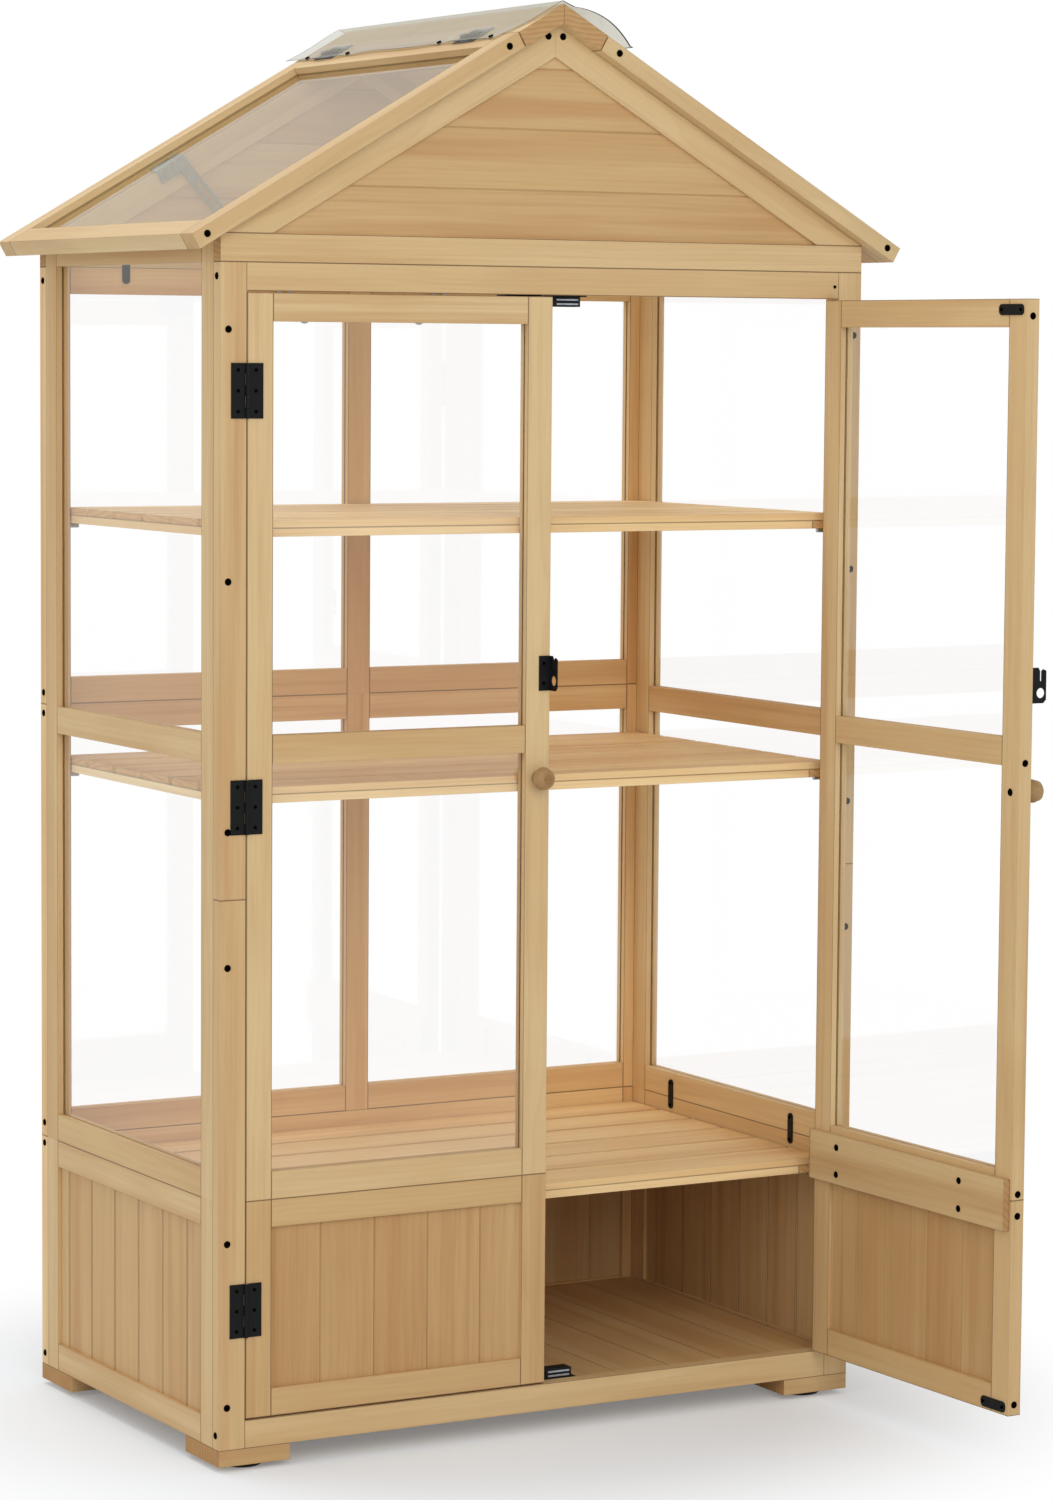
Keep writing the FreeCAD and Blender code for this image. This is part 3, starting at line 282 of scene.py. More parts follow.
def knots(t, place):
    """How near a place is to one of the few knots, and what lies in its heart."""
    cells = t.add("TexVoronoi", feature="F1")
    t.wire(t.scaled(place, KNOTS), cells.inputs["Vector"])
    t.wire(1.0, cells.inputs["Scale"])
    chosen = t.ramp(t.split(cells.outputs["Color"])[0], 0.92, 0.93)
    distance = cells.outputs["Distance"]
    near = t.math("MULTIPLY", chosen, t.ramp(distance, 0.02, 0.15, 1.0, 0.0))
    heart = t.math("MULTIPLY", chosen, t.ramp(distance, 0.014, 0.034, 1.0, 0.0))
    return near, heart


def late_wood(t, place, near):
    """The dark side of each ring, which bends round a knot."""
    wander = t.noise(t.scaled(place, WANDER), detail=3.0, rough=0.55)[1]
    x, y, _ = t.split(t.vector("ADD", place, t.centred(wander, (0.040, 0.040, 0.0))))
    from_pith = t.math("SQRT", t.math("ADD", t.math("MULTIPLY", x, x), t.math("MULTIPLY", y, y)))
    bent = t.math("MULTIPLY_ADD", near, 0.010, from_pith)
    ring = t.math("FRACT", t.math("DIVIDE", bent, RING))
    return t.math("MULTIPLY", t.math("POWER", ring, 2.6), t.ramp(ring, 0.90, 1.0, 1.0, 0.0))


def strip_number(t, place, shade, board):
    """A number for each glued strip of a board."""
    across, through, _ = t.split(place)
    steps = [t.math("FLOOR", t.math("DIVIDE", t.math("MULTIPLY_ADD", shade, 0.1, way), STRIP))
             for way in (across, through)]
    return t.math("MULTIPLY_ADD", t.math("ADD", *steps), 3.7, t.math("MULTIPLY", board, 11.3))


FIR = fir_group()
TURNS = {"x": (1, 2, 0), "y": (2, 0, 1), "z": (0, 1, 2)}


# Parts of a node: rules that give a positive distance inside, each with the axis it faces
def outside(axis, centre, reach):
    def rule(t, v):
        return t.math("SUBTRACT", t.math("ABSOLUTE", t.math("SUBTRACT", v, centre)), reach)
    return [(axis, rule)]


def within(axis, centre, reach):
    def rule(t, v):
        return t.math("SUBTRACT", reach, t.math("ABSOLUTE", t.math("SUBTRACT", v, centre)))
    return [(axis, rule)]


def above(axis, level):
    return [(axis, lambda t, v: t.math("SUBTRACT", v, level))]


def below(axis, level):
    return [(axis, lambda t, v: t.math("SUBTRACT", level, v))]


def seen_from(t, space):
    """An object's coordinates and normal in the straight directions of its boards."""
    coordinates = t.add("TexCoord")
    place, normal = coordinates.outputs["Object"], coordinates.outputs["Normal"]
    if space == "right_door":
        return turned_back(t, place, tuple(RIGHT_PIN)), turned_back(t, normal, (0.0, 0.0, 0.0))
    if space == "slope":
        x, y, z = t.split(place)
        nx, ny, nz = t.split(normal)
        down = (math.cos(PITCH), 0.0, -math.sin(PITCH))
        up = (math.sin(PITCH), 0.0, math.cos(PITCH))
        over = t.join(t.math("ABSOLUTE", x), y, t.math("SUBTRACT", z, APEX))
        faced = t.join(t.math("MULTIPLY", nx, t.math("SIGN", x)), ny, nz)
        place = t.join(t.vector("DOT_PRODUCT", over, down), y, t.vector("DOT_PRODUCT", over, up))
        normal = t.join(t.vector("DOT_PRODUCT", faced, down), ny, t.vector("DOT_PRODUCT", faced, up))
    return place, normal


def turned_back(t, vector, centre):
    """A vector on the open right door as it would be with the door shut."""
    back = t.add("VectorRotate", rotation_type="Z_AXIS")
    t.wire(vector, back.inputs["Vector"])
    t.wire(centre, back.inputs["Center"])
    t.wire(-OPEN, back.inputs["Angle"])
    return back.outputs[0]


def lies_along(t, facing, axis):
    """1 where a face looks along the axis, so that a seam across it would fill the face."""
    return t.math("GREATER_THAN", t.math("ABSOLUTE", facing[axis]), 0.5)


def boards(t, grain, cells, space, seed):
    """Boards in cells: [place, number, end grain, distance to a seam], and coordinates and normal."""
    place, normal = seen_from(t, space)
    at = dict(zip("xyz", t.split(place)))
    facing = dict(zip("xyz", t.split(normal)))
    number, gap = seed, 1.0
    for i, (axis, first, pitch) in enumerate(cells):
        steps = t.math("DIVIDE", t.math("SUBTRACT", at[axis], first), pitch)
        number = t.math("MULTIPLY_ADD", t.math("FLOOR", steps), 1.37 + 2.11 * i, number)
        middle = t.math("ABSOLUTE", t.math("SUBTRACT", t.math("FRACT", steps), 0.5))
        to_seam = t.math("MULTIPLY_ADD", middle, -pitch, pitch / 2)
        gap = t.math("MINIMUM", gap, t.math("ADD", to_seam, lies_along(t, facing, axis)))
    vector = t.join(*[at["xyz"[i]] for i in TURNS[grain]])
    return [vector, number, t.math("ABSOLUTE", facing[grain]), gap], at, facing


def part_of(t, part, at, facing):
    """1 inside a part of a node, and the distance to the part's boundary."""
    on_the_edge, slack = 0.0015, 0.0003
    inside, hidden = 1.0, 0.0
    for axis, rule in part:
        distance = rule(t, at[axis])
        inside = t.math("MINIMUM", inside, distance)
        on_edge = t.math("LESS_THAN", t.math("ABSOLUTE", distance), on_the_edge)
        hidden = t.math("MAXIMUM", hidden, t.math("MULTIPLY", on_edge, lies_along(t, facing, axis)))
    return t.math("GREATER_THAN", inside, -slack), t.math("ADD", t.math("ABSOLUTE", inside), hidden)


def fir(name, grain, cells=(), space="cabinet", others=(), warm=1.0, dark=1.0, low=None,
        seam=0.85, seam_width=0.0011, ends=1.0, seed=0.0, rounding=0.0012):
    """Wood whose grain runs along one axis of a space, with a new board at each cell.

    cells lists (axis, start, pitch). others lists (part, grain, cells) and
    perhaps a space for the boards that lie another way. warm below 1 is more
    orange, dark below 1 is darker and above 1 lighter, and low is (z, warm) for
    what lies below z. A dark above 1 paints light onto parts that lie in shade.
    A seam is drawn where boards meet, as painted shade in its colour and a
    groove in its bump, unless the surface itself lies along it.
    """
    made, t = material(name)
    kinds = ("VECTOR", "FLOAT", "FLOAT", "FLOAT")
    wood, at, facing = boards(t, grain, cells, space, seed)
    for i, (part, other_grain, other_cells, *other_space) in enumerate(others):
        mask, edge = part_of(t, part, at, facing)
        there = boards(t, other_grain, other_cells, *(other_space or [space]), seed)[0]
        there[1] = t.math("ADD", there[1], 17.0 + 5.0 * i)
        wood = [t.mix(mask, a, b, kind) for a, b, kind in zip(wood, there, kinds)]
        wood[3] = t.math("MINIMUM", wood[3], edge)
    vector, number, end, gap = wood
    group = t.add("Group", node_tree=FIR)
    end_grain = t.ramp(end, 0.75, 0.95, 0.0, ends)
    # Painted shade and a groove along each seam, strongest nearest the seam
    seam_groove_and_shade = t.ramp(gap, seam_width * 0.4, seam_width, seam, 0.0)
    for value, socket in zip((vector, number, end_grain, seam_groove_and_shade), group.inputs):
        t.wire(value, socket)
    shaded = t.mix(1.0, group.outputs[0], tinted(warm, dark), blend="MULTIPLY")
    if low:
        under = t.math("LESS_THAN", at["z"], low[0])
        shaded = t.mix(under, shaded, t.mix(1.0, shaded, tinted(low[1]), blend="MULTIPLY"))
    normal = t.bump(group.outputs[2], 0.25, 0.0004, t.rounded(rounding))
    t.surface(t.shader("BsdfPrincipled", Base_Color=shaded, Roughness=group.outputs[1],
                       Normal=normal, Specular_IOR_Level=0.3))
    return made


def tinted(warm, dark=1.0):
    return warm * dark, warm ** 1.9 * dark, warm ** 2.9 * dark, 1.0


def cad_piece(node):
    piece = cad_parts[node]
    return bpy.data.objects[piece] if isinstance(piece, str) else piece


def dress(node, made):
    """Give a CAD node one material in all its slots."""
    for slot in cad_piece(node).material_slots:
        slot.material = made


# Wood of each node: where its boards meet and which way they lie
LEFT_AND_RIGHT = ("x", 0.0, 1.0)
FRONT_AND_REAR = ("y", 0.0, 1.0)
DOOR_SPACE = {"left": "cabinet", "right": "right_door"}
FIRST_DOOR_PLANK = {"left": -0.305, "right": 0.102}
WIDE_PLANK, SIDE_PLANK, FLOOR_BOARD = 0.072, 0.070, 0.07636
BATTEN_HEIGHT = 0.010
TIERS = (("upper_shelf", -0.240, 0.0815, 1.099), ("middle_shelf", -0.240, 0.0815, 0.787),
         ("deck", -0.228, 0.07983, 0.282))


def dress_side_walls(side):
    # Painted light: the right walls' inner faces lie in the cabinet's shade, so their fir is a lighter
    # copy (dark 1.14)
    tone = {} if side == "left" else {"warm": 0.96, "dark": 1.14}
    stiles = [(outside("y", 0.0, STILE_INNER_Y), "z", [FRONT_AND_REAR, ("y", -0.244, 0.488)])]
    for part, seed in (("upper", 3), ("lower", 13)):
        wood = fir(f"fir_{side}_{part}", "y", [("z", STORAGE_TOP, 0.3)], others=stiles,
                   seed=seed + SIGN[side], **tone)
        dress(f"{side}_{part}_frame", wood)


def dress_door(side):
    sign, space = SIGN[side], DOOR_SPACE[side]
    middle = sign * DOOR_MIDDLE
    edges = [("z", DOOR_FOOT, DOOR_HEIGHT), ("x", sign * DOOR_HINGE_EDGE, 5.0)]
    stiles = [(outside("x", middle, DOOR_CLEAR), "z",
               [("x", middle, 1.0), ("z", STORAGE_TOP, 2.0)] + edges)]
    dress(f"{side}_door_frame",
          fir(f"fir_{side}_door", "x", [("z", STORAGE_TOP, 0.3)] + edges, space, stiles,
              seed=23 + sign, low=(STORAGE_TOP, 0.95)))
    dress(f"{side}_door_planks",
          fir(f"fir_{side}_planks", "z", [("x", FIRST_DOOR_PLANK[side], WIDE_PLANK)], space,
              warm=0.86, dark=0.97, seam=0.6, seam_width=0.0016, seed=33 + sign))
    dress(f"{side}_door_knob",
          fir(f"fir_{side}_knob", "y" if side == "left" else "x", warm=0.92, dark=0.70,
              seed=171, rounding=0.003))


def dress_lid(side):
    ends = [(outside("y", 0.0035, 0.2515), "x", [FRONT_AND_REAR])]
    dress(f"{side}_lid_frame",
          fir(f"fir_{side}_lid", "y", [("x", 0.3, 1.0)], "slope", ends, dark=0.97, ends=0.4,
              seed=53 + SIGN[side]))


def dress_front():
    dress("front_stiles",
          fir("fir_front_stiles", "z", [LEFT_AND_RIGHT, ("z", 0.678, 2.0), ("z", EAVES, 3.0)],
              seed=61))
    dress("front_rails",
          fir("fir_front_rails", "x", [("z", EAVES, 0.9), ("x", -STILE_INNER_X, 2 * STILE_INNER_X),
                                       ("z", 0.060, 1.324)], seed=66))
    dress("side_planks",
          fir("fir_side_planks", "z", [("y", -0.163, SIDE_PLANK), LEFT_AND_RIGHT], warm=0.93,
              seam=0.95, seam_width=0.0030, seed=71))


def dress_back():
    for low, part in ((STORAGE_TOP, "middle"), (MIDDLE_TOP, "upper"), (0.0, "lower")):
        stiles = [(outside("x", 0.0, STILE_INNER_X), "z",
                   [LEFT_AND_RIGHT, ("z", STORAGE_TOP, TIER), ("z", EAVES, 3.0)])]
        if part != "lower":
            stiles.append((within("x", 0.0, 0.0165), "z", []))
        # Painted light: the back frames lie in the cabinet's shade, so their fir is a lighter copy (dark
        # 1.22)
        dress(f"back_{part}_frame",
              fir(f"fir_back_{part}", "x", [("z", low, 0.2), ("z", STORAGE_TOP, TIER)],
                  others=stiles, warm=0.96, dark=1.22, seed=81 + low))
    dress("back_planks",
          fir("fir_back_planks", "z", [("x", -0.360, WIDE_PLANK)], warm=0.92, seam_width=0.0016,
              seed=91))


def dress_gables():
    for sign, part in ((-1, "front"), (1, "rear")):
        rafters = [(above("z", GABLE_TOP), "x", [FRONT_AND_REAR], "slope")]
        dress(f"{part}_gable_frame",
              fir(f"fir_{part}_gable", "x", [("z", EAVES, 3.0)], others=rafters, seed=101 + sign))
    dress("gable_planks",
          fir("fir_gable_planks", "x", [("z", 1.5075, WIDE_PLANK), FRONT_AND_REAR], warm=0.94,
              seam_width=0.0014, seed=111))
    dress("ridge_boards", fir("fir_ridge", "y", [LEFT_AND_RIGHT], seam=0.35, seed=161))


def dress_tiers():
    dress("floor_boards", fir("fir_floor", "y", [("x", -0.420, FLOOR_BOARD)], warm=0.95, seed=121))
    dress("floor_bearers", fir("fir_bearers", "x", [FRONT_AND_REAR], seed=126))
    for node, front, pitch, foot in TIERS:
        battens = below("z", foot + BATTEN_HEIGHT) + outside("x", 0.0, 0.387)
        # Painted light: the shelves and the deck lie in shade under the tiers above, so their fir is a
        # lighter, less orange copy (dark 1.3, warm 1.03)
        dress(node, fir(f"fir_{node}", "x", [("y", front, pitch), ("z", foot + BATTEN_HEIGHT, 1.0)],
                        others=[(battens, "y", [LEFT_AND_RIGHT])], warm=1.03, dark=1.3, seam=0.7,
                        seed=131 + foot))
    dress("corner_feet",
          fir("fir_feet", "x", [LEFT_AND_RIGHT, FRONT_AND_REAR, ("z", FOOT, 1.0)], warm=0.94,
              dark=0.95, seed=151))


for side in SIDES:
    dress_side_walls(side)
    dress_door(side)
    dress_lid(side)
dress_front()
dress_back()
dress_gables()
dress_tiers()


# Metals and plastics
def powder_coat(name, color, rough=0.5, specular=0.35):
    """A thin baked coat with a fine orange-peel and paler worn patches."""
    made, t = material(name)
    place = t.spot()
    peel = t.noise(place, 1400.0, 3.0)[0]
    patch = t.noise(place, 60.0, 3.0, 0.6)[0]
    worn = tuple(min(1.0, c * 1.9) for c in color[:3]) + (1.0,)
    tint = t.mix(t.ramp(patch, 0.4, 0.8, 0.0, 0.5), color, worn)
    rough_value = t.ramp(patch, 0.3, 0.7, rough - 0.08, rough + 0.1)
    normal = t.bump(peel, 0.25, 0.0002, t.rounded(0.0005))
    t.surface(t.shader("BsdfPrincipled", Base_Color=tint, Roughness=rough_value, Normal=normal,
                       Specular_IOR_Level=specular))
    return made


def plated_steel(name, color, rough=0.32):
    """Zinc-plated steel: bright, lightly brushed and a little clouded."""
    made, t = material(name)
    place = t.spot()
    brushed = t.noise(t.scaled(place, (2000.0, 2000.0, 60.0)))[0]
    cloud = t.noise(place, 80.0, 3.0, 0.6)[0]
    dull = tuple(c * 0.72 for c in color[:3]) + (1.0,)
    tint = t.mix(t.ramp(cloud, 0.35, 0.75), color, dull)
    rough_value = t.ramp(brushed, 0.3, 0.7, rough - 0.08, rough + 0.12)
    normal = t.bump(brushed, 0.15, 0.0001, t.rounded(0.0004))
    t.surface(t.shader("BsdfPrincipled", Base_Color=tint, Roughness=rough_value, Metallic=1.0,
                       Normal=normal))
    return made


BLACK = powder_coat("black_coat", linear(13, 14, 15), 0.5, specular=0.15)
DARK_PLASTIC = powder_coat("black_moulding", linear(18, 18, 19), 0.6, specular=0.25)
ROOF_METAL = powder_coat("roof_hinge_coat", linear(72, 78, 82))
STEEL = plated_steel("zinc", linear(178, 188, 196))
# Screw heads: near-black and without shine, partly their own dark coat and partly painted shade of the
# holes they sit in
SCREW_AND_HOLE_SHADE = powder_coat("screw_black", linear(10, 8, 6), 0.8, specular=0.0)
for node in ("door_hinge_fixed_leaves", "mending_plates"):
    dress(node, BLACK)
dress("lid_hinge_fixed_leaves", ROOF_METAL)
for node in ("door_catches", "foot_glides"):
    dress(node, DARK_PLASTIC)
for node in ("shelf_pins", "hinge_pins", "stay_screws"):
    dress(node, STEEL)
for side in SIDES:
    for part in ("hinge_leaves", "hasp"):
        dress(f"{side}_door_{part}", BLACK)
    dress(f"{side}_stay_bracket", STEEL)
    dress(f"{side}_stay_arm", STEEL)


# Glass and the clear film over the ridge
def clear_sheet(name, tint, rough=0.0, haze=0.0, haze_color=WHITE, ripple=0.0, both=False,
                shine=WHITE):
    """A clear sheet: light goes straight through, with a mirror that grows at a slant.

    A pane mirrors on its outward faces alone, for both of its faces, and an
    open sheet on both sides.
    """
    made, t = material(name)
    place = t.spot()
    smear = t.noise(place, 6.0, 3.0, 0.5)[0]
    normal = t.bump(t.noise(place, 9.0, 2.0)[0], ripple, 0.01) if ripple else None
    slant = t.add("LayerWeight")
    slant.inputs["Blend"].default_value = 0.5
    share = t.math("MULTIPLY_ADD", t.math("POWER", slant.outputs["Facing"], 5.0), 0.9, 0.07)
    if not both:
        front = t.math("SUBTRACT", 1.0, t.add("NewGeometry").outputs["Backfacing"])
        share = t.math("MULTIPLY", share, front)
    rough_value = t.ramp(smear, 0.3, 0.7, rough, rough + 0.04)
    mirror = t.shader("BsdfGlossy", Color=shine, Roughness=rough_value, Normal=normal)
    clear = t.blended(share, t.shader("BsdfTransparent", Color=tint), mirror)
    if haze:
        veil = t.shader("BsdfDiffuse", Color=haze_color)
        clear = t.blended(t.ramp(smear, 0.3, 0.7, haze * 0.8, haze * 1.2), clear, veil)
    t.surface(clear)
    return made


GLASS = clear_sheet("clear_glass", WHITE)
LID_GLASS = clear_sheet("lid_glass", (0.96, 0.95, 0.91, 1.0), 0.02, shine=(0.80, 0.78, 0.71, 1.0))
FILM = clear_sheet("ridge_film", (0.87, 0.87, 0.80, 1.0), 0.10, 0.20, (0.47, 0.44, 0.36, 1.0),
                   ripple=0.4, both=True, shine=(0.72, 0.71, 0.68, 1.0))
# A near-black band along the film's front, rear and hem: painted shade along its cut edges
FILM_EDGE = clear_sheet("film_edge", (0.06, 0.07, 0.07, 1.0), 0.3, 0.8, (0.04, 0.04, 0.04, 1.0),
                        both=True)
for node in ("side_panes", "back_panes", "left_door_panes", "right_door_panes"):
    dress(node, GLASS)
for side in SIDES:
    dress(f"{side}_lid_pane", LID_GLASS)


# New pieces
def new_piece(name, mesh, slot, *materials):
    for made in materials:
        mesh.materials.append(made)
    piece = bpy.data.objects.new(name, mesh)
    scene.collection.objects.link(piece)
    return piece


def finish_mesh(bm, name):
    bmesh.ops.recalc_face_normals(bm, faces=bm.faces)
    mesh = bpy.data.meshes.new(name)
    bm.to_mesh(mesh)
    bm.free()
    return mesh


def add_box(bm, centre, size, place=Vector):
    """A box round a centre, with each corner set by place."""
    for vert in bmesh.ops.create_cube(bm, size=1.0)["verts"]:
        vert.co = place(centre + Vector(a * b for a, b in zip(vert.co, size)))


def on_slope(side, along, y, up):
    """A place on a roof slope: along it from the apex, y from the front, up from its underside."""
    x = SIGN[side] * (along * math.cos(PITCH) + up * math.sin(PITCH))
    return Vector((x, y - HALF_DEPTH, APEX - along * math.sin(PITCH) + up * math.cos(PITCH)))


# Rain film: soft clear sheet over the ridge, one half for each lid, in terms of on_slope
FILM_FRONT = 0.002
FILM_LENGTH = 0.574
FILM_OVER = 0.0208
FILM_RISE = 0.0028
FILM_EDGE_WIDTH = 0.0020
FILM_SCREWS = (0.034, 0.164, 0.408, 0.521)
LID_HINGES = (0.096, 0.468)
LID_PIN = 0.059


def near_any(value, spots, reach):
    """How near a value is to one of the spots, from 0 to 1."""
    return max(math.exp(-((value - spot) / reach) ** 2) for spot in spots)


def film_shape(side, y):
    """Where one half's hem lies, how far it lifts and how much the half bulges, at one y."""
    if side == "left":
        free = 1 - near_any(y, FILM_SCREWS, 0.022)
        hem = 0.0728 + 0.0016 * free * math.sin(31 * y + 0.7) + 0.0045 * near_any(y, LID_HINGES, 0.030)
        return hem, 0.0010 * free + 0.0012, 0.0
    loose = math.exp(-y / 0.16)
    return 0.096 + 0.003 * math.sin(24 * y + 2.0), 0.0012 + 0.0075 * loose, 0.002 + 0.013 * loose


def film_point(side, v, s):
    """A point of one half: v from the front to the rear, s from the apex to the hem."""
    y = FILM_FRONT + v * FILM_LENGTH
    hem, lift, bulge = film_shape(side, y)
    along = s * hem
    over_hinge = 0.0062 * near_any(y, LID_HINGES, 0.030) * math.exp(-((along - LID_PIN) / 0.013) ** 2)
    swell = bulge * math.sin(math.pi * min(1.0, s * 1.05)) ** 0.9
    fold = FILM_RISE * math.exp(-(along / 0.030) ** 2)
    up = FILM_OVER + lift * s ** 2 + over_hinge + swell + fold
    point = on_slope(side, along, y, up)
    if s < 1e-6:
        point.x, point.z = 0.0, APEX + (FILM_OVER + fold) / math.cos(PITCH)
    front = -0.017 + (0.034 if side == "left" else 0.004) * s ** 1.5
    ahead = math.exp(-(y - FILM_FRONT) / 0.03) * (front - FILM_FRONT)
    point.y += ahead - 0.006 * (1 - s) * math.exp(-(FILM_LENGTH - y) / 0.05)
    return point


def film_mesh(side, width):
    rows, columns = 120, 22
    margin_v, margin_s = FILM_EDGE_WIDTH / FILM_LENGTH, FILM_EDGE_WIDTH / width
    vs = [0.0, margin_v] + [i / rows for i in range(1, rows)] + [1.0 - margin_v, 1.0]
    ss = [i / columns for i in range(columns)] + [1.0 - margin_s, 1.0]
    bm = bmesh.new()
    grid = [[bm.verts.new(film_point(side, v, s)) for s in ss] for v in vs]
    for i in range(len(vs) - 1):
        for j in range(len(ss) - 1):
            corners = [grid[i][j], grid[i][j + 1], grid[i + 1][j + 1], grid[i + 1][j]]
            if side == "right":
                corners.reverse()
            face = bm.faces.new(reversed(corners))
            face.smooth = True
            # The outer rows and the hem column take the painted edge shade
            face.material_index = int(i in (0, len(vs) - 2) or j == len(ss) - 2)
    mesh = bpy.data.meshes.new(f"{side}_film")
    bm.to_mesh(mesh)
    bm.free()
    return mesh


def film(side, *stands_for):
    width = (film_point(side, 0.5, 1.0) - film_point(side, 0.5, 0.0)).length
    piece = new_piece(f"{side}_film", film_mesh(side, width), "film", FILM, FILM_EDGE)
    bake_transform(piece)
    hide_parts(*stands_for)


film("left", "left_film_flap", "ridge_film")
film("right", "right_film_flap")


# Lid hinges: the CAD's leaves with their free ends nearer the pin, under the film
LEAF_END = 0.0735


def short_leaves(side):
    down_slope = Vector((SIGN[side] * math.cos(PITCH), 0.0, -math.sin(PITCH)))
    node = cad_piece(f"{side}_lid_hinge_leaves")
    mesh = node.data.copy()
    mesh.transform(node.matrix_world)
    for vert in mesh.vertices:
        along = (vert.co - Vector((0.0, 0.0, APEX))).dot(down_slope)
        if along > LEAF_END:
            vert.co -= down_slope * (along - LEAF_END)
    mesh.materials.clear()
    piece = new_piece(f"{side}_short_leaves", mesh, "black_metal", ROOF_METAL)
    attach(piece, f"{side}_lid")
    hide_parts(f"{side}_lid_hinge_leaves")


for side in SIDES:
    short_leaves(side)


# Screws: heads with a cross recess, one mesh for each body, with heights in mm above the foot rail.
# Their near-black coat without shine is partly the screws' own colour and partly painted shade of the
# holes they sit in.
DOOR_HINGES = (1242, 759, 164.6)
FRONT, BACKWARD, LEFT, RIGHT = (0, -1, 0), (0, 1, 0), (-1, 0, 0), (1, 0, 0)
WOOD_SCREW, LONG_SCREW, PLATE_SCREW, FILM_SCREW = 0.0043, 0.0046, 0.0022, 0.0032
PLATE_STEPS = (-24, 0, 24)


def cross_recess(radius):
    """The outline of the recess, as (distance, angle) round the head."""
    arm, waist = radius * 0.58, radius * 0.13
    corners = ((arm, -waist), (arm, waist), (waist * 1.4, waist * 1.4))
    return [(math.hypot(reach, across), math.atan2(across, reach) + quarter * math.pi / 2)
            for quarter in range(4) for reach, across in corners]


def head_mesh(bm, spot, normal, radius, spin):
    """One head: a cone into the wood, a flat rim that stands proud and a cross recess."""
    proud, floor, depth, steps = 0.0009, 0.0003, radius * 0.7, 20
    normal = Vector(normal).normalized()
    turn = Matrix.Rotation(spin, 3, normal)
    side = normal.orthogonal().normalized()
    side, other = turn @ side, turn @ normal.cross(side)

    def at(distance, angle, height):
        offset = math.cos(angle) * side + math.sin(angle) * other
        return bm.verts.new(Vector(spot) + distance * offset + height * normal)

    def circle(distance, height):
        return [at(distance, 2 * math.pi * i / steps, height) for i in range(steps)]

    rim, low, base = circle(radius, 0.0001), circle(radius * 0.86, proud), circle(radius * 0.5, -depth)
    cross = cross_recess(radius)
    top = [at(distance, angle, proud) for distance, angle in cross]
    pit = [at(distance * 0.7, angle, floor) for distance, angle in cross]
    for i in range(steps):
        j = (i + 1) % steps
        bm.faces.new((rim[i], rim[j], low[j], low[i]))
        bm.faces.new((base[i], base[j], rim[j], rim[i]))
    bm.faces.new(list(reversed(base)))
    for i in range(len(cross)):
        j = (i + 1) % len(cross)
        bm.faces.new((top[j], top[i], pit[i], pit[j]))
    bm.faces.new(pit)
    edges = [bm.edges.get((vert, ring[(i + 1) % len(ring)]))
             for ring in (low, top) for i, vert in enumerate(ring)]
    bmesh.ops.triangle_fill(bm, use_beauty=True, edges=edges)


def screws(name, body, places):
    """Screw heads on one body: each as (place, normal, radius)."""
    rng = random.Random(name)
    bm = bmesh.new()
    for spot, normal, radius in places:
        head_mesh(bm, spot, normal, radius, rng.uniform(0, math.pi))
    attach(new_piece(name, finish_mesh(bm, name), "black_metal", SCREW_AND_HOLE_SHADE), body)


def at(x, y, z):
    """A place on the cabinet in mm: x from its left side, y from its front, z from its foot rail."""
    return (x / 1000 - HALF_WIDTH, y / 1000 - HALF_DEPTH, z / 1000 + FOOT)


def mirrored(places):
    """The same places and their mirror images across the cabinet's middle."""
    return places + [((-x, y, z), (-a, b, c), r) for (x, y, z), (a, b, c), r in places]


def cabinet_screws():
    heads = [(at(10, 0, z), FRONT, WOOD_SCREW) for z in (1312.5, 1021.7, 730.4, 571.5, 245.4, 50.5)]
    heads += [(at(0, 10, z), LEFT, WOOD_SCREW) for z in (16.5, 1373.5)]
    heads += [(at(0, 515, z), LEFT, WOOD_SCREW) for z in (1373, 858, 832, 311, 285, 14)]
    heads += [(at(10, 524, z), BACKWARD, WOOD_SCREW) for z in (1312.5, 1021.7, 571.5, 245.4, 50.5)]
    for y, normal in ((0, FRONT), (524, BACKWARD)):
        heads.append((at(430, y, 1663), normal, WOOD_SCREW))
    for y in (108, 404):
        heads += [(at(20, y, 279 + z), RIGHT, PLATE_SCREW) for z in (5, 34)]
    heads += [(at(109, 504, 1370.5 + z), FRONT, PLATE_SCREW) for z in (5, 34)]
    for z in DOOR_HINGES:
        heads += [(at(22, -1.2, z + step), FRONT, PLATE_SCREW) for step in PLATE_STEPS]
    return mirrored(heads) + [(at(841, 0, 1372), FRONT, PLATE_SCREW)]


def opened(place):
    """A place on the right door, given with the door shut, where it rests."""
    turn = Matrix.Rotation(OPEN, 4, "Z")
    return Matrix.Translation(RIGHT_PIN) @ turn @ Matrix.Translation(-RIGHT_PIN) @ Vector(place)


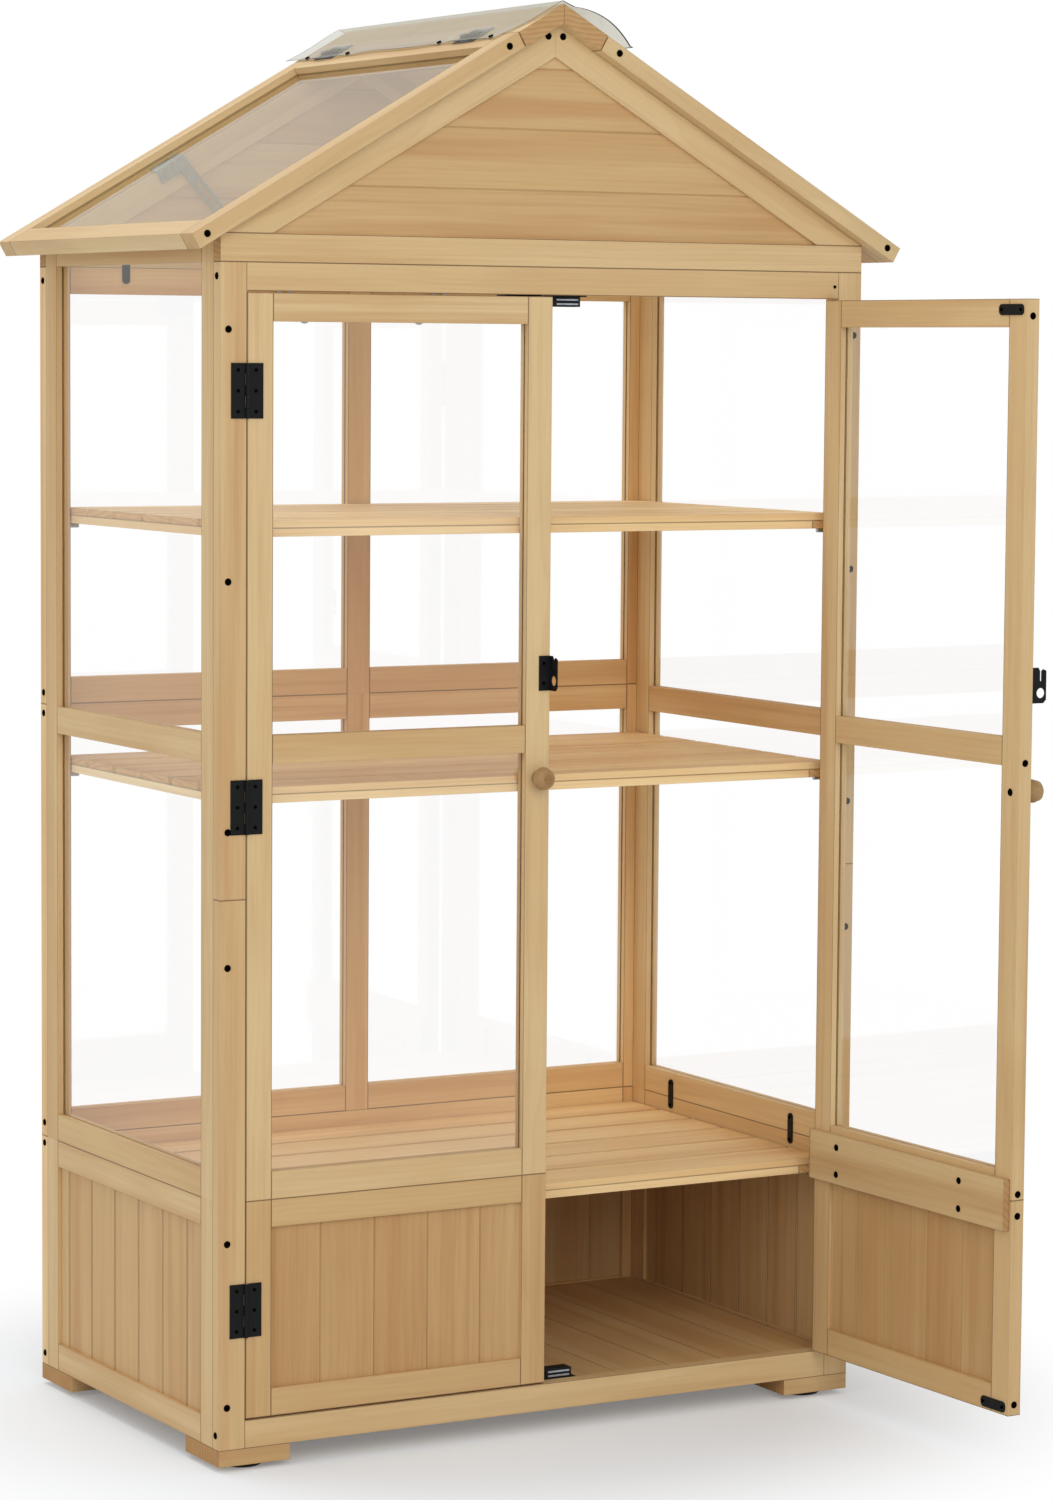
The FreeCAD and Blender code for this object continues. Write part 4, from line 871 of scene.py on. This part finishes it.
def door_screws(side):
    """Screws in a door's free edge, batten and plates, and behind its knob."""
    sign, front = SIGN[side], -HALF_DEPTH
    free, hinge = sign * DOOR_FREE_EDGE, sign * DOOR_HINGE_EDGE
    places = [((free, front + 0.009, FOOT + z / 1000), (-sign, 0, 0), WOOD_SCREW)
              for z in (1335, 813, 301, 275, 48)]
    places += [((hinge - sign * across / 1000, INNER_FACE + 0.008, FOOT + z / 1000), BACKWARD, WOOD_SCREW)
               for across in (58, 311) for z in (304, 270)]
    places.append(((sign * 0.0175, INNER_FACE, FOOT + 0.778), BACKWARD, LONG_SCREW))
    for z in DOOR_HINGES:
        places += [((hinge - sign * 0.0105, front - 0.0012, FOOT + (z + step) / 1000), FRONT, PLATE_SCREW)
                   for step in PLATE_STEPS]
    for z in (44.5, 1342.5):
        places += [((free + sign * across / 1000, INNER_FACE + 0.0015, FOOT + z / 1000), BACKWARD,
                    PLATE_SCREW) for across in (10, 47)]
    places += [((free + sign * 0.009, front - 0.0015, FOOT + z / 1000), FRONT, PLATE_SCREW)
               for z in (892, 916)]
    if side == "right":
        turn = Matrix.Rotation(OPEN, 3, "Z")
        places = [(opened(p), turn @ Vector(n), r) for p, n, r in places]
    return places


def lid_screws(side):
    """Screws in a lid's front and rear edges, its hinges and the film's hem."""
    upward = (SIGN[side] * math.sin(PITCH), 0, math.cos(PITCH))
    places = []
    for along in (0.078 if side == "left" else 0.083, 0.5315):
        places += [(on_slope(side, along, -0.019, 0.011), FRONT, WOOD_SCREW),
                   (on_slope(side, along, 0.550, 0.011), BACKWARD, WOOD_SCREW)]
    places += [(on_slope(side, 0.0675, y, 0.0224), upward, FILM_SCREW) for y in FILM_SCREWS]
    places += [(on_slope(side, 0.0695, y + step, 0.0215), upward, PLATE_SCREW)
               for y in LID_HINGES for step in (-0.016, 0.016)]
    return places


screws("cabinet_screws", "root", cabinet_screws())
for side in SIDES:
    screws(f"{side}_door_screws", f"{side}_door", door_screws(side))
    screws(f"{side}_lid_screws", f"{side}_lid", lid_screws(side))


# Door fittings on the inner face: rounded strike plates and the thin batten
PLATE_ROWS = ((0.065, 0.078), (1.363, 1.376))
PLATE_ENDS = (0.0065, 0.0535)
PLATE_THICKNESS, PLATE_RADIUS, PLATE_EASE = 0.0015, 0.0052, 0.0004
BATTEN_ENDS = (0.0060, 0.4045)
BATTEN_MIDDLE = 0.3155
BATTEN_THICKNESS, BATTEN_WIDTH = 0.008, 0.060


def rounded_plate(bm, corners, place):
    """A flat plate with round corners: (low, high) corners in its own plane, set by place."""
    steps, radius = 6, PLATE_RADIUS
    (x0, z0), (x1, z1) = corners
    rim = []
    for cx, cz, start in ((x1 - radius, z1 - radius, 0), (x0 + radius, z1 - radius, 90),
                          (x0 + radius, z0 + radius, 180), (x1 - radius, z0 + radius, 270)):
        for i in range(steps + 1):
            angle = math.radians(start + 90 * i / steps)
            rim.append((cx + radius * math.cos(angle), cz + radius * math.sin(angle)))
    middle = Vector(((x0 + x1) / 2, (z0 + z1) / 2))
    rings = []
    for depth, shrink in ((0.0, 0.0), (PLATE_THICKNESS - PLATE_EASE, 0.0), (PLATE_THICKNESS, PLATE_EASE)):
        ring = []
        for x, z in rim:
            inward = (middle - Vector((x, z))).normalized() * shrink
            ring.append(bm.verts.new(place(Vector((x + inward.x, depth, z + inward.y)))))
        rings.append(ring)
    for low, high in zip(rings, rings[1:]):
        for i, vert in enumerate(low):
            j = (i + 1) % len(low)
            bm.faces.new((vert, low[j], high[j], high[i]))
    bm.faces.new(rings[0])
    bm.faces.new(list(reversed(rings[-1])))


def hung(side):
    """How a place on a shut door is moved to where the door rests."""
    return opened if side == "right" else Vector


def strike_plates(side):
    move = hung(side)
    x0, x1 = sorted(SIGN[side] * end for end in PLATE_ENDS)
    bm = bmesh.new()
    for low, high in PLATE_ROWS:
        rounded_plate(bm, ((x0, low), (x1, high)), lambda p: move((p.x, INNER_FACE + p.y, p.z)))
    piece = new_piece(f"{side}_strike_plates", finish_mesh(bm, "strike_plates"), "black_metal", BLACK)
    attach(piece, f"{side}_door")
    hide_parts(f"{side}_door_strike_plates")


def batten(side):
    """The board across a door's inner face, from the hinge edge nearly to the free edge."""
    x0, x1 = sorted(SIGN[side] * end for end in BATTEN_ENDS)
    centre = Vector(((x0 + x1) / 2, INNER_FACE + BATTEN_THICKNESS / 2, BATTEN_MIDDLE))
    bm = bmesh.new()
    add_box(bm, centre, (x1 - x0, BATTEN_THICKNESS, BATTEN_WIDTH), hung(side))
    bmesh.ops.bevel(bm, geom=bm.edges[:], offset=0.0008, segments=2, affect="EDGES")
    wood = fir(f"fir_{side}_batten", "x", space=DOOR_SPACE[side], warm=0.97, dark=0.95,
               seed=43 + SIGN[side])
    piece = new_piece(f"{side}_batten", finish_mesh(bm, "batten"), "wood", wood)
    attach(piece, f"{side}_door")
    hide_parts(f"{side}_door_batten")


for side in SIDES:
    strike_plates(side)
    batten(side)


# Catch poles: two steel strips in the face of each magnetic catch
POLE_SIZE = (0.030, 0.0014, 0.0022)
POLE_FEET = (1345.6, 1350.8, 34.8, 40.0)


def catch_poles():
    bm = bmesh.new()
    for sign in (-1, 1):
        for low in POLE_FEET:
            add_box(bm, Vector((sign * 0.031, -HALF_DEPTH + 0.0211, FOOT + (low + 1.1) / 1000)), POLE_SIZE)
    bmesh.ops.bevel(bm, geom=bm.edges[:], offset=0.0003, segments=2, affect="EDGES")
    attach(new_piece("catch_poles", finish_mesh(bm, "catch_poles"), "plain_steel", STEEL), "root")


catch_poles()


# Studio: a white surround, a floor that fades into it, and soft lamps
DOME = 0.57
FLOOR_SIZE = 40.0
FADE_FROM, FADE_TO = 0.42, 0.90
LAMPS = (("front", (-1.2, -4.8, 3.0), (0, 0, 0.75), 3.0, 82),
         ("side", (-4.9, -1.4, 2.6), (0, 0, 0.8), 2.4, 34),
         ("top", (-0.8, 1.2, 4.6), (0, 0, 0.3), 2.4, 52))


def looked_at(t):
    """1 for what the camera, a mirror or a clear sheet shows, and 0 for light."""
    rays = t.add("LightPath")
    shown = t.math("MAXIMUM", rays.outputs["Is Camera Ray"], rays.outputs["Is Glossy Ray"])
    return t.math("MAXIMUM", shown, rays.outputs["Is Transmission Ray"])


def floor_material():
    """Matt near the cabinet, where its shadow falls, and plain white further off."""
    made, t = material("studio_floor")
    place = t.spot()
    tint = t.mix(t.noise(place, 3.0, 3.0)[0], (0.880, 0.930, 0.985, 1.0), (0.895, 0.940, 0.990, 1.0))
    matt = t.shader("BsdfPrincipled", Base_Color=tint, Roughness=0.9, Specular_IOR_Level=0.1)
    white = t.shader("Emission", Color=WHITE, Strength=1.0)
    x, y, _ = t.split(place)
    away = t.math("SQRT", t.math("ADD", t.math("MULTIPLY", x, x), t.math("MULTIPLY", y, y)))
    fade = t.ramp(away, FADE_FROM, FADE_TO, 0.18, 1.0)
    t.surface(t.blended(t.math("MULTIPLY", looked_at(t), fade), matt, white))
    return made


def studio_floor():
    mesh = bpy.data.meshes.new("studio_floor")
    s = FLOOR_SIZE
    mesh.from_pydata([(-s, -s, 0), (s, -s, 0), (s, s, 0), (-s, s, 0)], [], [(0, 1, 2, 3)])
    mesh.materials.append(floor_material())
    floor = bpy.data.objects.new("studio_floor", mesh)
    scene.collection.objects.link(floor)


def surround():
    world = bpy.data.worlds.new("surround")
    world.use_nodes = True
    scene.world = world
    t = Tree(world.node_tree)
    strength = t.math("MULTIPLY_ADD", looked_at(t), 1.0 - DOME, DOME)
    sky = t.shader("Background", Color=WHITE, Strength=strength)
    t.tree.links.new(sky, t.add("OutputWorld").inputs["Surface"])


def lamp(name, place, aim, size, power):
    data = bpy.data.lights.new(name, "AREA")
    data.shape = "SQUARE"
    data.size = size
    data.energy = power
    obj = bpy.data.objects.new(name, data)
    obj.location = place
    obj.rotation_mode = "QUATERNION"
    obj.rotation_quaternion = (Vector(aim) - Vector(place)).to_track_quat("-Z", "Y")
    scene.collection.objects.link(obj)


studio_floor()
surround()
for settings in LAMPS:
    lamp(*settings)


# Camera: at the photograph's place, looking the way that it looks
SENSOR = 36.0
FOCAL_LENGTH, PHOTO_HEIGHT = 4445.28, 1500.0
CAMERA_PLACE = (-2.64772, -4.90242, 1.31683)
CAMERA_RIGHT = Vector((0.871495, -0.490348, 0.007470))
CAMERA_DOWN = Vector((-0.037329, -0.081518, -0.995973))
CAMERA_FORWARD = Vector((0.488982, 0.867706, -0.089347))


def look():
    data = bpy.data.cameras.new("camera")
    data.lens = FOCAL_LENGTH * SENSOR / PHOTO_HEIGHT
    data.sensor_width = SENSOR
    data.clip_end = 100.0
    camera = bpy.data.objects.new("camera", data)
    axes = Matrix((CAMERA_RIGHT, -CAMERA_DOWN, -CAMERA_FORWARD)).transposed()
    camera.rotation_mode = "QUATERNION"
    camera.rotation_quaternion = axes.to_quaternion()
    camera.location = CAMERA_PLACE
    scene.collection.objects.link(camera)
    scene.camera = camera


look()
scene.view_settings.view_transform = "Standard"
